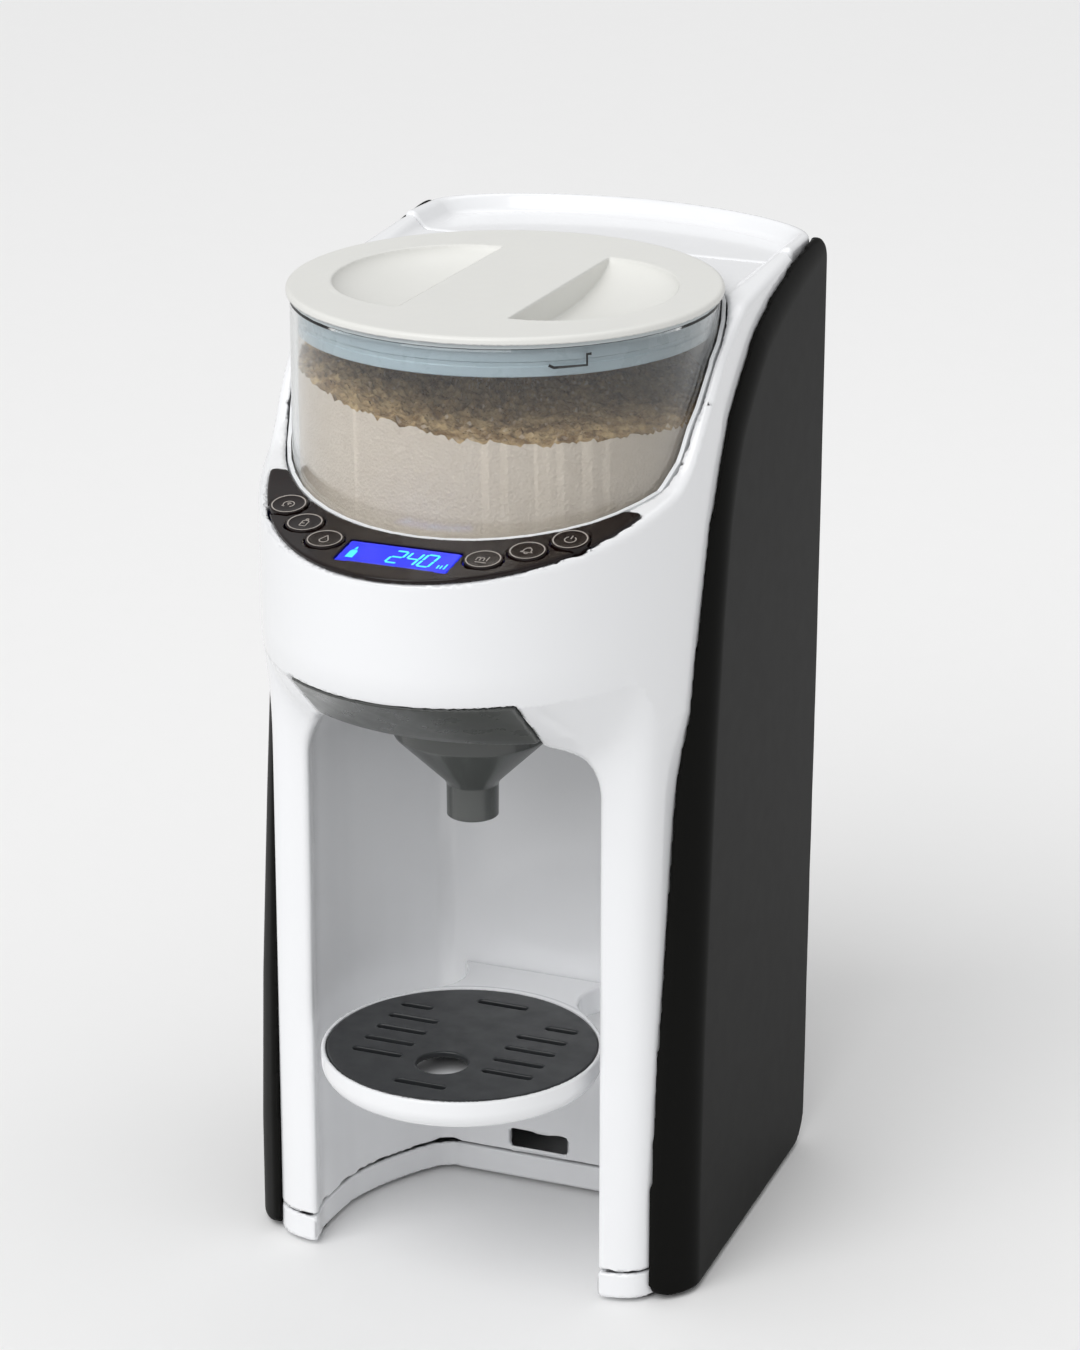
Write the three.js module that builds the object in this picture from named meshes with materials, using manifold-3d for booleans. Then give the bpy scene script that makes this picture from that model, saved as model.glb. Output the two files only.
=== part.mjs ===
// A countertop formula dispenser: clear powder hopper over a dosing drive, water tank behind, bottle bay in front.
// Millimetres, +Z up, the front faces -Y, the floor is z = 0 and the middle of the outer box is x = y = 0.
import * as THREE from "three";
import { mergeVertices } from "three/addons/utils/BufferGeometryUtils.js";
import Module from "manifold-3d";

const wasm = await Module();
wasm.setup();

// Driving dimensions
const GAP = 0.3;
const WALL = 3;
const AXIS_Y = -16; // the hopper stands on this axis
const HALF_WIDTH = 90; // white body, at the hopper axis
const HEAD_REACH = 122; // hopper axis to the front of the head
const SIDE_TAPER = 0.048; // the body narrows towards the rear
const REAR_START = 100;
const REAR_DEPTH = 38;
const REAR_POWER = 1.7;
const TOP = 402;
const FLOOR_LIFT = 2; // the feet carry the base this far up
const SEAM = 13; // top of the base tray
const SHELL_BACK = 72;
const CHASSIS_BACK = 75.3;
const TANK_FRONT = 76.5;
const SHELF = 41.5; // the tank stands on this shelf
const TANK_TOP = 392;

const LEG_HALF = 84;
const LEG_REACH = 56;
const LEG_POWER = 8;
const LEG_TOP = 200; // the head starts to swell out of the legs here
const CEILING = 243;
const UNDERCUT_START = 246;
const UNDERCUT_END = 266;
const HEAD_START = 280;
const BAY_HALF = 64;
const BAY_ARCH = 30;
const BAY_BACK = 17;

const HOPPER_R = 83.5;
const HOPPER_WALL = 2.5;
const HOPPER_TOP = 396.6;
const SEAT_R = 85.6;
const WELL_R = 86;
const SEAT_FLOOR = 283;
const HOPPER_FLOOR = 287;
const LID_R = 85;
const LID_BOTTOM = 398.6;
const LID_TOP = 401.6;
const SKIRT_R = 80.4;
const SKIRT_BOTTOM = 385.4;

const OUTLET_Y = -50; // powder falls here, and the funnel stands under it
const GEAR_TEETH = 22;
const PINION_TEETH = 12;
const GEAR_MODULE = 1.5;
const GEAR_BOTTOM = 270;
const GEAR_TOP = 278;
const PINION_Y = AXIS_Y + ((GEAR_TEETH + PINION_TEETH) * GEAR_MODULE) / 2;

const TRAY_Y = -62;
const TRAY_R = 56.5;
const TRAY_TOP = 98.4;
const TRAY_BOTTOM = 85.3;
const GRILLE_R = 54.4;

const DECK = [
  [-150, 316],
  [-138, 317.6],
  [-118, 320.5],
  [-100, 323.5],
  [-75, 329],
  [-50, 336],
  [-40, 345],
  [-33, 357],
  [-14, 379],
  [14, 394],
  [66, 399],
  [89, 401],
];
const DRAWER_HALF = 46;
const BOSSES = [[74, -36], [-74, -36], [58, 96], [-58, 96]];
const SLOT_HALF = 13;
const SLOT_HIGH = 7.5;
const SLOT_LOW = 16;
const SLOT_TRAY = 86;
const PANEL_EDGE = [
  [2, -64, 104],
  [45, -64, 105],
  [110, -60, 106],
  [190, -51, 109],
  [230, -46, 110],
  [280, -37, 110],
  [318, -28, 111],
  [338, -20, 111],
  [352, -12, 112],
  [364, 0, 112],
  [374, 12, 112],
  [384, 26, 112],
  [391, 46, 112],
  [397, 70, 112],
  [401, 88, 112],
];
const VALVE_Y = 100;
const INLET_HALF = 13;
const INLET_LOW = 17;
const INLET_HIGH = 35;
const HOSE_X = 52;
const HOSE_Z = 27;
const FEET = [
  ["foot_front_left", -74, -54],
  ["foot_front_right", 74, -54],
  ["foot_rear_left", -62, 78],
  ["foot_rear_right", 62, 78],
];
const WHEEL_BOTTOM = 290.4;
const WHEEL_TOP = 299;
const PUMP_X = 42;
const PUMP_Y = 98;
const SLOT_ROWS = [-35, -46.8, -58.6, -70.4, -82.2];

const PANEL_THICK = 1.9;
const PANEL_A = 85.5;
const PANEL_B = 121.5;
const PANEL_END = -66;
const BUTTON_R = 7.5;
const BUTTONS = [
  ["button_prime", -58.2, -91],
  ["button_menu", -45.8, -102.8],
  ["button_volume", -32.5, -113.5],
  ["button_unit", 32.5, -113.5],
  ["button_alarm", 45.8, -102.8],
  ["button_power", 58.2, -91],
];

// Solids ------------------------------------------------------------------------------------------

function solid(geometry) {
  const bare = geometry.index ? geometry.toNonIndexed() : geometry.clone();
  for (const name of Object.keys(bare.attributes)) {
    if (name !== "position") bare.deleteAttribute(name);
  }
  const merged = mergeVertices(bare, 1e-4);
  const vertProperties = new Float32Array(merged.attributes.position.array);
  const triVerts = new Uint32Array(merged.index.array);
  if (signedVolume(vertProperties, triVerts) < 0) {
    for (let i = 0; i < triVerts.length; i += 3) {
      [triVerts[i + 1], triVerts[i + 2]] = [triVerts[i + 2], triVerts[i + 1]];
    }
  }
  return new wasm.Manifold(new wasm.Mesh({ numProp: 3, vertProperties, triVerts }));
}

function signedVolume(positions, triangles) {
  const corner = (i) => new THREE.Vector3().fromArray(positions, 3 * triangles[i]);
  let sum = 0;
  for (let i = 0; i < triangles.length; i += 3) {
    sum += corner(i).dot(corner(i + 1).cross(corner(i + 2)));
  }
  return sum / 6;
}

function join(first, ...others) {
  return others.reduce((all, one) => all.add(one), first);
}

function cut(first, ...tools) {
  return tools.reduce((left, tool) => left.subtract(tool), first);
}

function geometryOf(shape) {
  const mesh = shape.getMesh();
  const geometry = new THREE.BufferGeometry();
  geometry.setAttribute("position", new THREE.BufferAttribute(new Float32Array(mesh.vertProperties), 3));
  geometry.setIndex(new THREE.BufferAttribute(new Uint32Array(mesh.triVerts), 1));
  geometry.computeVertexNormals();
  return geometry;
}

const group = new THREE.Group();

function part(name, shape, material) {
  const mesh = new THREE.Mesh(geometryOf(shape), material);
  mesh.name = name;
  group.add(mesh);
  return mesh;
}

function box(x0, x1, y0, y1, z0, z1) {
  const geometry = new THREE.BoxGeometry(x1 - x0, y1 - y0, z1 - z0);
  geometry.translate((x0 + x1) / 2, (y0 + y1) / 2, (z0 + z1) / 2);
  return solid(geometry);
}

// Turned about a vertical axis through (x, y): the profile is a list of [radius, z].
function turned(profile, x = 0, y = AXIS_Y, segments = 32) {
  const closed = [...profile, profile[0]].map(([r, z]) => new THREE.Vector2(r, z));
  const geometry = new THREE.LatheGeometry(closed, segments);
  geometry.rotateX(Math.PI / 2);
  geometry.translate(x, y, 0);
  return solid(geometry);
}

function disc(radius, z0, z1, x = 0, y = AXIS_Y, segments = 20) {
  const geometry = new THREE.CylinderGeometry(radius, radius, z1 - z0, segments);
  geometry.rotateX(Math.PI / 2);
  geometry.translate(x, y, (z0 + z1) / 2);
  return solid(geometry);
}

function ring(outer, inner, z0, z1, x = 0, y = AXIS_Y, segments = 32) {
  return turned([[inner, z0], [outer, z0], [outer, z1], [inner, z1]], x, y, segments);
}

// A rod along Y.
function rod(radius, x, z, y0, y1, segments = 20) {
  const geometry = new THREE.CylinderGeometry(radius, radius, y1 - y0, segments);
  geometry.translate(x, (y0 + y1) / 2, z);
  return solid(geometry);
}

function shapeOf(points) {
  return new THREE.Shape(points.map(([u, v]) => new THREE.Vector2(u, v)));
}

// A plan outline of [x, y] raised from z0 to z1.
function raised(points, z0, z1) {
  const geometry = new THREE.ExtrudeGeometry(shapeOf(points), { depth: z1 - z0, bevelEnabled: false });
  geometry.translate(0, 0, z0);
  return solid(geometry);
}

// A side profile of [y, z] run from x0 to x1.
function acrossX(points, x0, x1) {
  const geometry = new THREE.ExtrudeGeometry(shapeOf(points), { depth: x1 - x0, bevelEnabled: false });
  geometry.rotateZ(Math.PI / 2);
  geometry.rotateY(Math.PI / 2);
  geometry.translate(x0, 0, 0);
  return solid(geometry);
}

// A front profile of [x, z] run from y0 to y1.
function acrossY(points, y0, y1) {
  const geometry = new THREE.ExtrudeGeometry(shapeOf(points), { depth: y1 - y0, bevelEnabled: false });
  geometry.rotateX(Math.PI / 2);
  geometry.translate(0, y1, 0);
  return solid(geometry);
}

// A stack of level outlines, each { z, points }, all with as many points, closed at both ends.
function loft(stack) {
  const count = stack[0].points.length;
  const backwards = THREE.ShapeUtils.isClockWise(stack[0].points.map(([x, y]) => new THREE.Vector2(x, y)));
  const levels = stack.map(({ z, points }) => ({ z, points: backwards ? [...points].reverse() : points }));
  const positions = levels.flatMap(({ z, points }) => points.flatMap(([x, y]) => [x, y, z]));
  const index = [];
  for (let level = 0; level + 1 < levels.length; level += 1) {
    for (let i = 0; i < count; i += 1) {
      const next = (i + 1) % count;
      const [a, b] = [level * count + i, level * count + next];
      index.push(a, b, b + count, a, b + count, a + count);
    }
  }
  const last = (levels.length - 1) * count;
  for (const level of [0, levels.length - 1]) {
    const outline = levels[level].points.map(([x, y]) => new THREE.Vector2(x, y));
    for (const [a, b, c] of THREE.ShapeUtils.triangulateShape(outline, [])) {
      if (level === 0) index.push(c, b, a);
      else index.push(last + a, last + b, last + c);
    }
  }
  const geometry = new THREE.BufferGeometry();
  geometry.setAttribute("position", new THREE.Float32BufferAttribute(positions, 3));
  geometry.setIndex(index);
  return solid(geometry);
}

function hose(radius, bore, points, steps) {
  const path = new THREE.CatmullRomCurve3(points.map(([x, y, z]) => new THREE.Vector3(x, y, z)));
  const section = new THREE.Shape().absarc(0, 0, radius, 0, 2 * Math.PI);
  section.holes.push(new THREE.Path().absarc(0, 0, bore, 0, 2 * Math.PI));
  return solid(new THREE.ExtrudeGeometry(section, { steps, extrudePath: path, curveSegments: 4 }));
}

// The body's outlines ------------------------------------------------------------------------------------------

function halfWidth(y) {
  if (y < AXIS_Y) return HALF_WIDTH * Math.sqrt(1 - ((y - AXIS_Y) / HEAD_REACH) ** 2);
  return HALF_WIDTH - SIDE_TAPER * (y - AXIS_Y);
}

function polar(angle, a, b, power) {
  const u = Math.abs(Math.sin(angle) / a) ** power;
  const v = Math.abs(Math.cos(angle) / b) ** power;
  return (u + v) ** (-1 / power);
}

// How far the front stands out of the hopper axis at a height.
function reach(z) {
  if (z <= LEG_TOP) return 50;
  if (z <= UNDERCUT_START) return 50 + 43 * ((z - LEG_TOP) / (UNDERCUT_START - LEG_TOP)) ** 1.5;
  if (z <= UNDERCUT_END) return 93 + (26 * (z - UNDERCUT_START)) / (UNDERCUT_END - UNDERCUT_START);
  const rest = Math.max(0, 1 - (z - UNDERCUT_END) / (HEAD_START - UNDERCUT_END));
  return HEAD_REACH - 3 * rest ** 2;
}

function frontRadius(angle, z) {
  const full = polar(angle, HALF_WIDTH, HEAD_REACH, 2);
  const leg = polar(angle, LEG_HALF, LEG_REACH, LEG_POWER);
  const head = polar(angle, HALF_WIDTH, reach(z), 2);
  const soft = 24;
  return Math.min(full, (leg ** soft + head ** soft) ** (1 / soft));
}

function mirrored(half) {
  const left = half.map(([x, y]) => [-x, y]).reverse();
  return [...half, ...left].filter(([x, y], i, all) => {
    const [px, py] = all[(i + all.length - 1) % all.length];
    return Math.hypot(x - px, y - py) > 1e-6;
  });
}

const FRONT_STEPS = 12;

function frontHalf(z, inset) {
  const half = [];
  for (let i = 0; i <= FRONT_STEPS; i += 1) {
    const angle = ((i / FRONT_STEPS) * Math.PI) / 2;
    const radius = frontRadius(angle, z) - inset;
    half.push([radius * Math.sin(angle), AXIS_Y - radius * Math.cos(angle)]);
  }
  return half;
}

// The front outline closed by a flat back at y = back.
function frontOutline(z, inset, back) {
  return mirrored([...frontHalf(z, inset), [halfWidth(back) - inset, back]]);
}

function rearHalf(inset, steps = 8) {
  const half = [];
  const wide = halfWidth(REAR_START) - inset;
  for (let i = 0; i <= steps; i += 1) {
    const angle = ((i / steps) * Math.PI) / 2;
    const radius = polar(angle + Math.PI / 2, wide, REAR_DEPTH - inset, REAR_POWER);
    half.push([radius * Math.cos(angle), REAR_START + radius * Math.sin(angle)]);
  }
  return half;
}

function fullOutline(z, inset) {
  return mirrored([...frontHalf(z, inset), ...rearHalf(inset)]);
}

// The tank's plan: flat front, the body's sides and its rounded rear.
function rearOutline(front, inset) {
  return mirrored([[0, front], [halfWidth(front) - inset, front], ...rearHalf(inset)]);
}

const LEVELS = [SEAM + GAP, 120, LEG_TOP, 212, 222, 230, 238, 246, 256, 266, 272, HEAD_START, 330, TOP];

function headLoft(inset, back, from = LEVELS[0], to = TOP) {
  const levels = [from, ...LEVELS.filter((z) => z > from && z < to), to];
  return loft(levels.map((z) => ({ z, points: frontOutline(z, inset, back) })));
}

// The deck climbs from the control panel to the rear top as one long S.

function deckHeight(y) {
  const i = DECK.findIndex(([at]) => at > y);
  const [[y0, z0], [y1, z1]] = [DECK[i - 1], DECK[i]];
  return z0 + ((z1 - z0) * (y - y0)) / (y1 - y0);
}

function aboveDeck(drop) {
  const profile = DECK.map(([y, z]) => [y, z - drop]);
  return acrossX([...profile, [89, 440], [-150, 440]], -120, 120);
}

// The bay's plan, from the front of the right leg to the flat rear wall.
function bayPlan(grow) {
  const half = [
    [62, -150],
    [62, -69],
    [65, -58],
    [65, -39],
    [64, -28],
    [61, -18],
    [58, -10],
    [51, 4],
    [44, 14],
    [38, BAY_BACK],
  ];
  return mirrored(half.map(([x, y]) => [x + grow, y < -100 ? y : y + grow]));
}

function baySolid(grow, z0) {
  const reachX = BAY_HALF + 2 + grow;
  const top = CEILING + grow;
  const arch = [[-reachX, z0], [reachX, z0]];
  for (let i = 0; i <= 6; i += 1) {
    const angle = ((i / 6) * Math.PI) / 2;
    arch.push([reachX - BAY_ARCH + BAY_ARCH * Math.cos(angle), top - BAY_ARCH + BAY_ARCH * Math.sin(angle)]);
  }
  for (let i = 6; i >= 0; i -= 1) {
    const angle = ((i / 6) * Math.PI) / 2;
    arch.push([-reachX + BAY_ARCH - BAY_ARCH * Math.cos(angle), top - BAY_ARCH + BAY_ARCH * Math.sin(angle)]);
  }
  return raised(bayPlan(grow), z0, top + 1).intersect(acrossY(arch, -160, 40));
}

// Materials ---------------------------------------------------------------------------------------

const plastic = (color, roughness = 0.35) => new THREE.MeshStandardMaterial({ color, roughness, metalness: 0 });
const metal = (color, roughness = 0.3) => new THREE.MeshStandardMaterial({ color, roughness, metalness: 1 });
const clear = (color, opacity) =>
  new THREE.MeshStandardMaterial({ color, roughness: 0.08, metalness: 0, transparent: true, opacity });

const WHITE = plastic("#ecedee", 0.2);
const LID_WHITE = plastic("#dedfda", 0.4);
const BLACK = plastic("#1c1c1b", 0.4);
const GREY = plastic("#8b9094", 0.5);
const RUBBER = plastic("#2a2a2a", 0.9);
const GRILLE = plastic("#2a2c2d", 0.6);
const PANEL_BROWN = plastic("#160608", 0.1);
const STEEL = metal("#b9bcbf");
const BRASS = metal("#b48b4a");
const BOARD = plastic("#1f5c36", 0.6);

// Housing -----------------------------------------------------------------------------------------

function crescent(inner, z0, z1, grow) {
  const ellipse = [];
  for (let i = 0; i <= 28; i += 1) {
    const angle = Math.PI * (i / 28 - 0.5);
    const radius = polar(angle, PANEL_A, PANEL_B, 2) + grow;
    ellipse.push([radius * Math.sin(angle), AXIS_Y - radius * Math.cos(angle)]);
  }
  const whole = raised(ellipse, z0, z1);
  const front = box(-100, 100, -160, PANEL_END + grow, z0 - 1, z1 + 1);
  return cut(whole.intersect(front), disc(inner, z0 - 1, z1 + 1, 0, AXIS_Y, 48));
}

function buttonSpot(x, y, radius, z0, z1) {
  const geometry = new THREE.CylinderGeometry(radius, radius, z1 - z0, 16);
  geometry.translate(0, (z0 + z1) / 2, 0);
  geometry.rotateX(Math.PI / 2);
  geometry.rotateX(Math.atan(deckSlope(y)));
  geometry.translate(x, y, deckHeight(y));
  return solid(geometry);
}

function deckSlope(y) {
  return (deckHeight(y + 1) - deckHeight(y - 1)) / 2;
}

function frontShell() {
  const outer = cut(headLoft(0, SHELL_BACK), aboveDeck(0));
  const inner = cut(headLoft(WALL, SHELL_BACK + 5, 0), aboveDeck(4), baySolid(WALL, -10));
  const well = disc(WELL_R, SEAT_FLOOR, 440, 0, AXIS_Y, 48);
  const drawer = box(-DRAWER_HALF - GAP, DRAWER_HALF + GAP, -160, -14, 238, UNDERCUT_END + 1);
  const recess = crescent(WELL_R - 2, 290, 360, GAP).intersect(aboveDeck(PANEL_THICK + GAP));
  const window = box(-26, 26, -128, -108, 300, 340);
  const buttonHoles = BUTTONS.map(([, x, y]) => buttonSpot(x, y, BUTTON_R + 0.5, -12, 6));
  const slot = (z) => box(-SLOT_HALF, SLOT_HALF, BAY_BACK - 3, BAY_BACK + 8, z, z + SLOT_HIGH);
  const slots = [SLOT_LOW, SLOT_TRAY].map(slot);
  return cut(outer, inner, baySolid(0, -10), well, drawer, recess, window, ...buttonHoles, ...slots);
}

function baseTray() {
  const outer = raised(fullOutline(SEAM, 0), FLOOR_LIFT, SEAM);
  const bay = raised(bayPlan(0), -1, SEAM + 1);
  const bayWall = raised(bayPlan(WALL), -1, SEAM + 1);
  const inner = cut(raised(fullOutline(SEAM, WALL), FLOOR_LIFT + WALL, SEAM + 1), bayWall);
  const bosses = BOSSES.map(([x, y]) => disc(4.2, FLOOR_LIFT + 1, SEAM - 0.6, x, y, 20));
  const holes = BOSSES.map(([x, y]) => disc(1.9, 0, SEAM + 1, x, y, 16));
  const sinks = BOSSES.map(([x, y]) => disc(3.8, 0, FLOOR_LIFT + 1.7, x, y, 20));
  return cut(join(cut(outer, bay, inner), ...bosses), ...holes, ...sinks);
}

// The side panel's front edge leans back and then sweeps over the top.

function sidePanel(side) {
  const steps = 7;
  const levels = PANEL_EDGE.map(([z, front, back]) => {
    const points = [];
    const flat = (y) => 94 - 0.055 * y;
    const drop = flat(front) - halfWidth(front) - 1.3;
    const length = Math.min(27, 8 + drop * 1.5, (back - front) / 2);
    for (let i = 0; i <= steps; i += 1) {
      const s = (i / steps) * length;
      points.push([flat(front + s) - drop * (1 - s / length) ** 2, front + s]);
    }
    points.push([flat(back - 3), back - 3], [flat(back) - 1.6, back]);
    const inner = [];
    for (let i = 0; i <= steps; i += 1) {
      const y = back - (i / steps) * (back - front);
      inner.push([halfWidth(y) - 1, y]);
    }
    return { z, points: [...points, ...inner].map(([x, y]) => [side * x, y]) };
  });
  const body = headLoft(-GAP, SHELL_BACK, -1, TOP + 1);
  const rear = raised(rearOutline(SHELL_BACK - 10, -GAP), -1, TOP + 1);
  return cut(loft(levels), body, rear);
}

function rearChassis() {
  const spine = box(-85, 85, SHELL_BACK + GAP, CHASSIS_BACK, SEAM + GAP, 388);
  const shelf = raised(rearOutline(SHELL_BACK + GAP, 0), SEAM + GAP, SHELF);
  const hollow = raised(rearOutline(CHASSIS_BACK, WALL), SEAM - 1, SHELF - WALL);
  const valveHole = disc(9, SHELF - 8, SHELF + 1, 0, VALVE_Y, 20);
  const inletHole = box(-INLET_HALF - GAP, INLET_HALF + GAP, 112, 145, INLET_LOW - GAP, INLET_HIGH + GAP);
  const hoseHole = rod(6, HOSE_X, HOSE_Z, SHELL_BACK - 2, CHASSIS_BACK + 2, 12);
  return cut(join(spine, cut(shelf, hollow)), valveHole, inletHole, hoseHole);
}

function hopperSeat() {
  const cup = turned(
    [
      [0, SEAT_FLOOR],
      [SEAT_R, SEAT_FLOOR],
      [SEAT_R, HOPPER_TOP],
      [SEAT_R - 1.5, HOPPER_TOP],
      [SEAT_R - 1.5, SEAT_FLOOR + 3],
      [0, SEAT_FLOOR + 3],
    ],
    0,
    AXIS_Y,
    48,
  );
  const spindleHole = disc(6.5, SEAT_FLOOR - 2, SEAT_FLOOR + 6, 0, AXIS_Y, 24);
  const outlet = disc(12, SEAT_FLOOR - 2, SEAT_FLOOR + 6, 0, OUTLET_Y, 24);
  return cut(cup, aboveDeck(0.5), spindleHole, outlet);
}

function controlPanel() {
  const slab = cut(crescent(WELL_R + 0.2, 290, 360, 0).intersect(aboveDeck(PANEL_THICK)), aboveDeck(0));
  const window = box(-23.2, 23.2, -127, -109.5, 300, 340);
  const holes = BUTTONS.map(([, x, y]) => buttonSpot(x, y, BUTTON_R + 0.3, -6, 6));
  return cut(slab, window, ...holes);
}

function displayModule() {
  const block = box(-22.9, 22.9, -126.7, -109.8, 312, 340);
  return cut(block, aboveDeck(0.4));
}

function footSolid(x, y) {
  return turned([[0, 0], [7, 0], [8, 0.6], [8, FLOOR_LIFT - GAP], [0, FLOOR_LIFT - GAP]], x, y, 20);
}

function baseScrew(x, y) {
  const head = turned([[0, 2.2], [3, 2.2], [3.4, 2.6], [3.4, 3.4], [1.5, 3.4], [1.5, 11], [0, 12.2]], x, y, 10);
  const cross = join(box(x - 2, x + 2, y - 0.4, y + 0.4, 2, 2.9), box(x - 0.4, x + 0.4, y - 2, y + 2, 2, 2.9));
  return cut(head, cross);
}

part("front_shell", frontShell(), WHITE);
part("base_tray", baseTray(), WHITE);
part("side_panel_left", sidePanel(-1), BLACK);
part("side_panel_right", sidePanel(1), BLACK);
part("rear_chassis", rearChassis(), BLACK);
part("hopper_seat", hopperSeat(), WHITE);
part("control_panel", controlPanel(), PANEL_BROWN);
part("display_module", displayModule(), plastic("#1a3cf0", 0.2));
for (const [name, x, y] of FEET) part(name, footSolid(x, y), RUBBER);
BOSSES.forEach(([x, y], i) => part(`base_screw_${i + 1}`, baseScrew(x, y), STEEL));

// Buttons -----------------------------------------------------------------------------------------

function button(x, y) {
  return cut(buttonSpot(x, y, BUTTON_R, -4.6, 0.7), buttonSpot(x, y, BUTTON_R - 1.6, 0.4, 2));
}

for (const [name, x, y] of BUTTONS) part(name, button(x, y), PANEL_BROWN);

// Powder drive ------------------------------------------------------------------------------------

function gearShape(teeth, phase) {
  const pitch = (teeth * GEAR_MODULE) / 2;
  const points = [];
  for (let i = 0; i < teeth; i += 1) {
    const middle = phase + (2 * Math.PI * i) / teeth;
    const step = (2 * Math.PI) / teeth;
    for (const [offset, radius] of [[-0.33, -1.8], [-0.13, 1.1], [0.13, 1.1], [0.33, -1.8]]) {
      const angle = middle + offset * step;
      points.push([(pitch + radius) * Math.cos(angle), (pitch + radius) * Math.sin(angle)]);
    }
  }
  return points;
}

function gearAt(teeth, phase, y, z0, z1) {
  return raised(gearShape(teeth, phase).map(([u, v]) => [u, v + y]), z0, z1);
}

function driveGear() {
  const wheel = gearAt(GEAR_TEETH, Math.PI / 2, AXIS_Y, GEAR_BOTTOM, GEAR_TOP);
  const shaft = disc(5, 262, 293, 0, AXIS_Y, 24);
  const dog = box(-5.2, 5.2, AXIS_Y - 1.6, AXIS_Y + 1.6, 288, 297);
  return join(wheel, shaft, dog.intersect(disc(5.2, 280, 300, 0, AXIS_Y, 24)));
}

function motorPinion() {
  const phase = -Math.PI / 2 + Math.PI / PINION_TEETH;
  const wheel = gearAt(PINION_TEETH, phase, PINION_Y, GEAR_BOTTOM, GEAR_TOP);
  return cut(wheel, disc(2.4, 260, 290, 0, PINION_Y, 20));
}

function driveMotor() {
  const gearbox = box(-16, 16, PINION_Y - 13, PINION_Y + 13, 248, 267);
  const shaft = disc(2.1, 260, 279, 0, PINION_Y, 12);
  const can = rod(9, 0, 257.5, PINION_Y + 10, PINION_Y + 48, 28);
  return join(gearbox, shaft, can);
}

function powderChute() {
  return turned(
    [[10, 249.5], [12, 249.5], [14, 258], [14, 282.7], [12.3, 282.7], [12.3, 259]],
    0,
    OUTLET_Y,
    32,
  );
}

part("drive_gear", driveGear(), plastic("#e6e2d6", 0.5));
part("motor_pinion", motorPinion(), BRASS);
part("drive_motor", driveMotor(), STEEL);
part("powder_chute", powderChute(), GREY);

// Hopper ------------------------------------------------------------------------------------------

function hopperWall() {
  return ring(HOPPER_R, HOPPER_R - HOPPER_WALL, HOPPER_FLOOR, HOPPER_TOP, 0, AXIS_Y, 48);
}

function hopperFloor() {
  const plate = disc(HOPPER_R - HOPPER_WALL - GAP, HOPPER_FLOOR, HOPPER_FLOOR + 3, 0, AXIS_Y, 48);
  return cut(plate, disc(6.5, 280, 300, 0, AXIS_Y, 24), disc(11, 280, 300, 0, OUTLET_Y, 24));
}

function dosingWheel() {
  const wheel = disc(76, WHEEL_BOTTOM, WHEEL_TOP, 0, AXIS_Y, 48);
  const hub = disc(9, WHEEL_BOTTOM, 318, 0, AXIS_Y, 24);
  const pockets = [];
  for (let i = 0; i < 6; i += 1) {
    const angle = Math.PI / 2 + (i * Math.PI) / 3;
    pockets.push(disc(11, 280, 305, 34 * Math.cos(angle), AXIS_Y + 34 * Math.sin(angle), 12));
  }
  const socket = disc(5.8, 280, 300, 0, AXIS_Y, 20);
  return cut(join(wheel, hub), ...pockets, socket);
}

function stirrer() {
  const collar = ring(13, 9.3, 304, 314, 0, AXIS_Y, 24);
  const arms = [0, 120, 240].map((degrees) => {
    const arm = new THREE.BoxGeometry(62, 4, 5);
    arm.translate(42, 0, 309);
    arm.rotateZ((degrees * Math.PI) / 180);
    arm.translate(0, AXIS_Y, 0);
    return solid(arm);
  });
  return join(collar, ...arms);
}

function scraper() {
  const plate = disc(79.6, 299.8, 302, 0, AXIS_Y, 48).intersect(box(-19, 19, -110, AXIS_Y - 16, 290, 310));
  const foot = disc(79.6, HOPPER_FLOOR + 3.2, 300, 0, AXIS_Y, 48).intersect(box(-10, 10, -110, AXIS_Y - 77, 280, 310));
  return join(plate, foot);
}

part("hopper_wall", hopperWall(), clear("#e8eef0", 0.35));
part("hopper_floor", hopperFloor(), GREY);
part("dosing_wheel", dosingWheel(), plastic("#cfd3d4", 0.4));
part("stirrer", stirrer(), plastic("#cfd3d4", 0.4));
part("dosing_scraper", scraper(), GREY);

// Hopper lid --------------------------------------------------------------------------------------

function pocket(side, inset, z0, z1) {
  const points = [];
  const radius = 69 - inset;
  const bar = 23 + inset;
  const spread = Math.acos(bar / radius);
  for (let i = 0; i <= 18; i += 1) {
    const angle = -spread + (2 * spread * i) / 18;
    points.push([side * radius * Math.cos(angle), AXIS_Y + radius * Math.sin(angle)]);
  }
  return raised(points, z0, z1);
}

function hopperLid() {
  const plate = turned(
    [
      [0, LID_BOTTOM],
      [LID_R - 0.6, LID_BOTTOM],
      [LID_R, LID_BOTTOM + 0.8],
      [LID_R, LID_TOP - 0.8],
      [LID_R - 1, LID_TOP],
      [0, LID_TOP],
    ],
    0,
    AXIS_Y,
    48,
  );
  const bowls = [-1, 1].map((side) => pocket(side, -2.4, 387, LID_BOTTOM + 1));
  const hollows = [-1, 1].map((side) => pocket(side, 0, 389.4, LID_TOP + 1));
  return cut(join(plate, ...bowls), ...hollows);
}

function lidSkirt() {
  const band = ring(SKIRT_R, SKIRT_R - 2.4, SKIRT_BOTTOM, LID_BOTTOM - GAP, 0, AXIS_Y, 48);
  return band;
}

part("hopper_lid", hopperLid(), LID_WHITE);
part("lid_skirt", lidSkirt(), metal("#a9b4bb", 0.35));
part("lid_seal", ring(83.4, 80.8, HOPPER_TOP + GAP, LID_BOTTOM - GAP, 0, AXIS_Y, 48), plastic("#d8dcdc", 0.7));

// Water tank --------------------------------------------------------------------------------------

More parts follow.
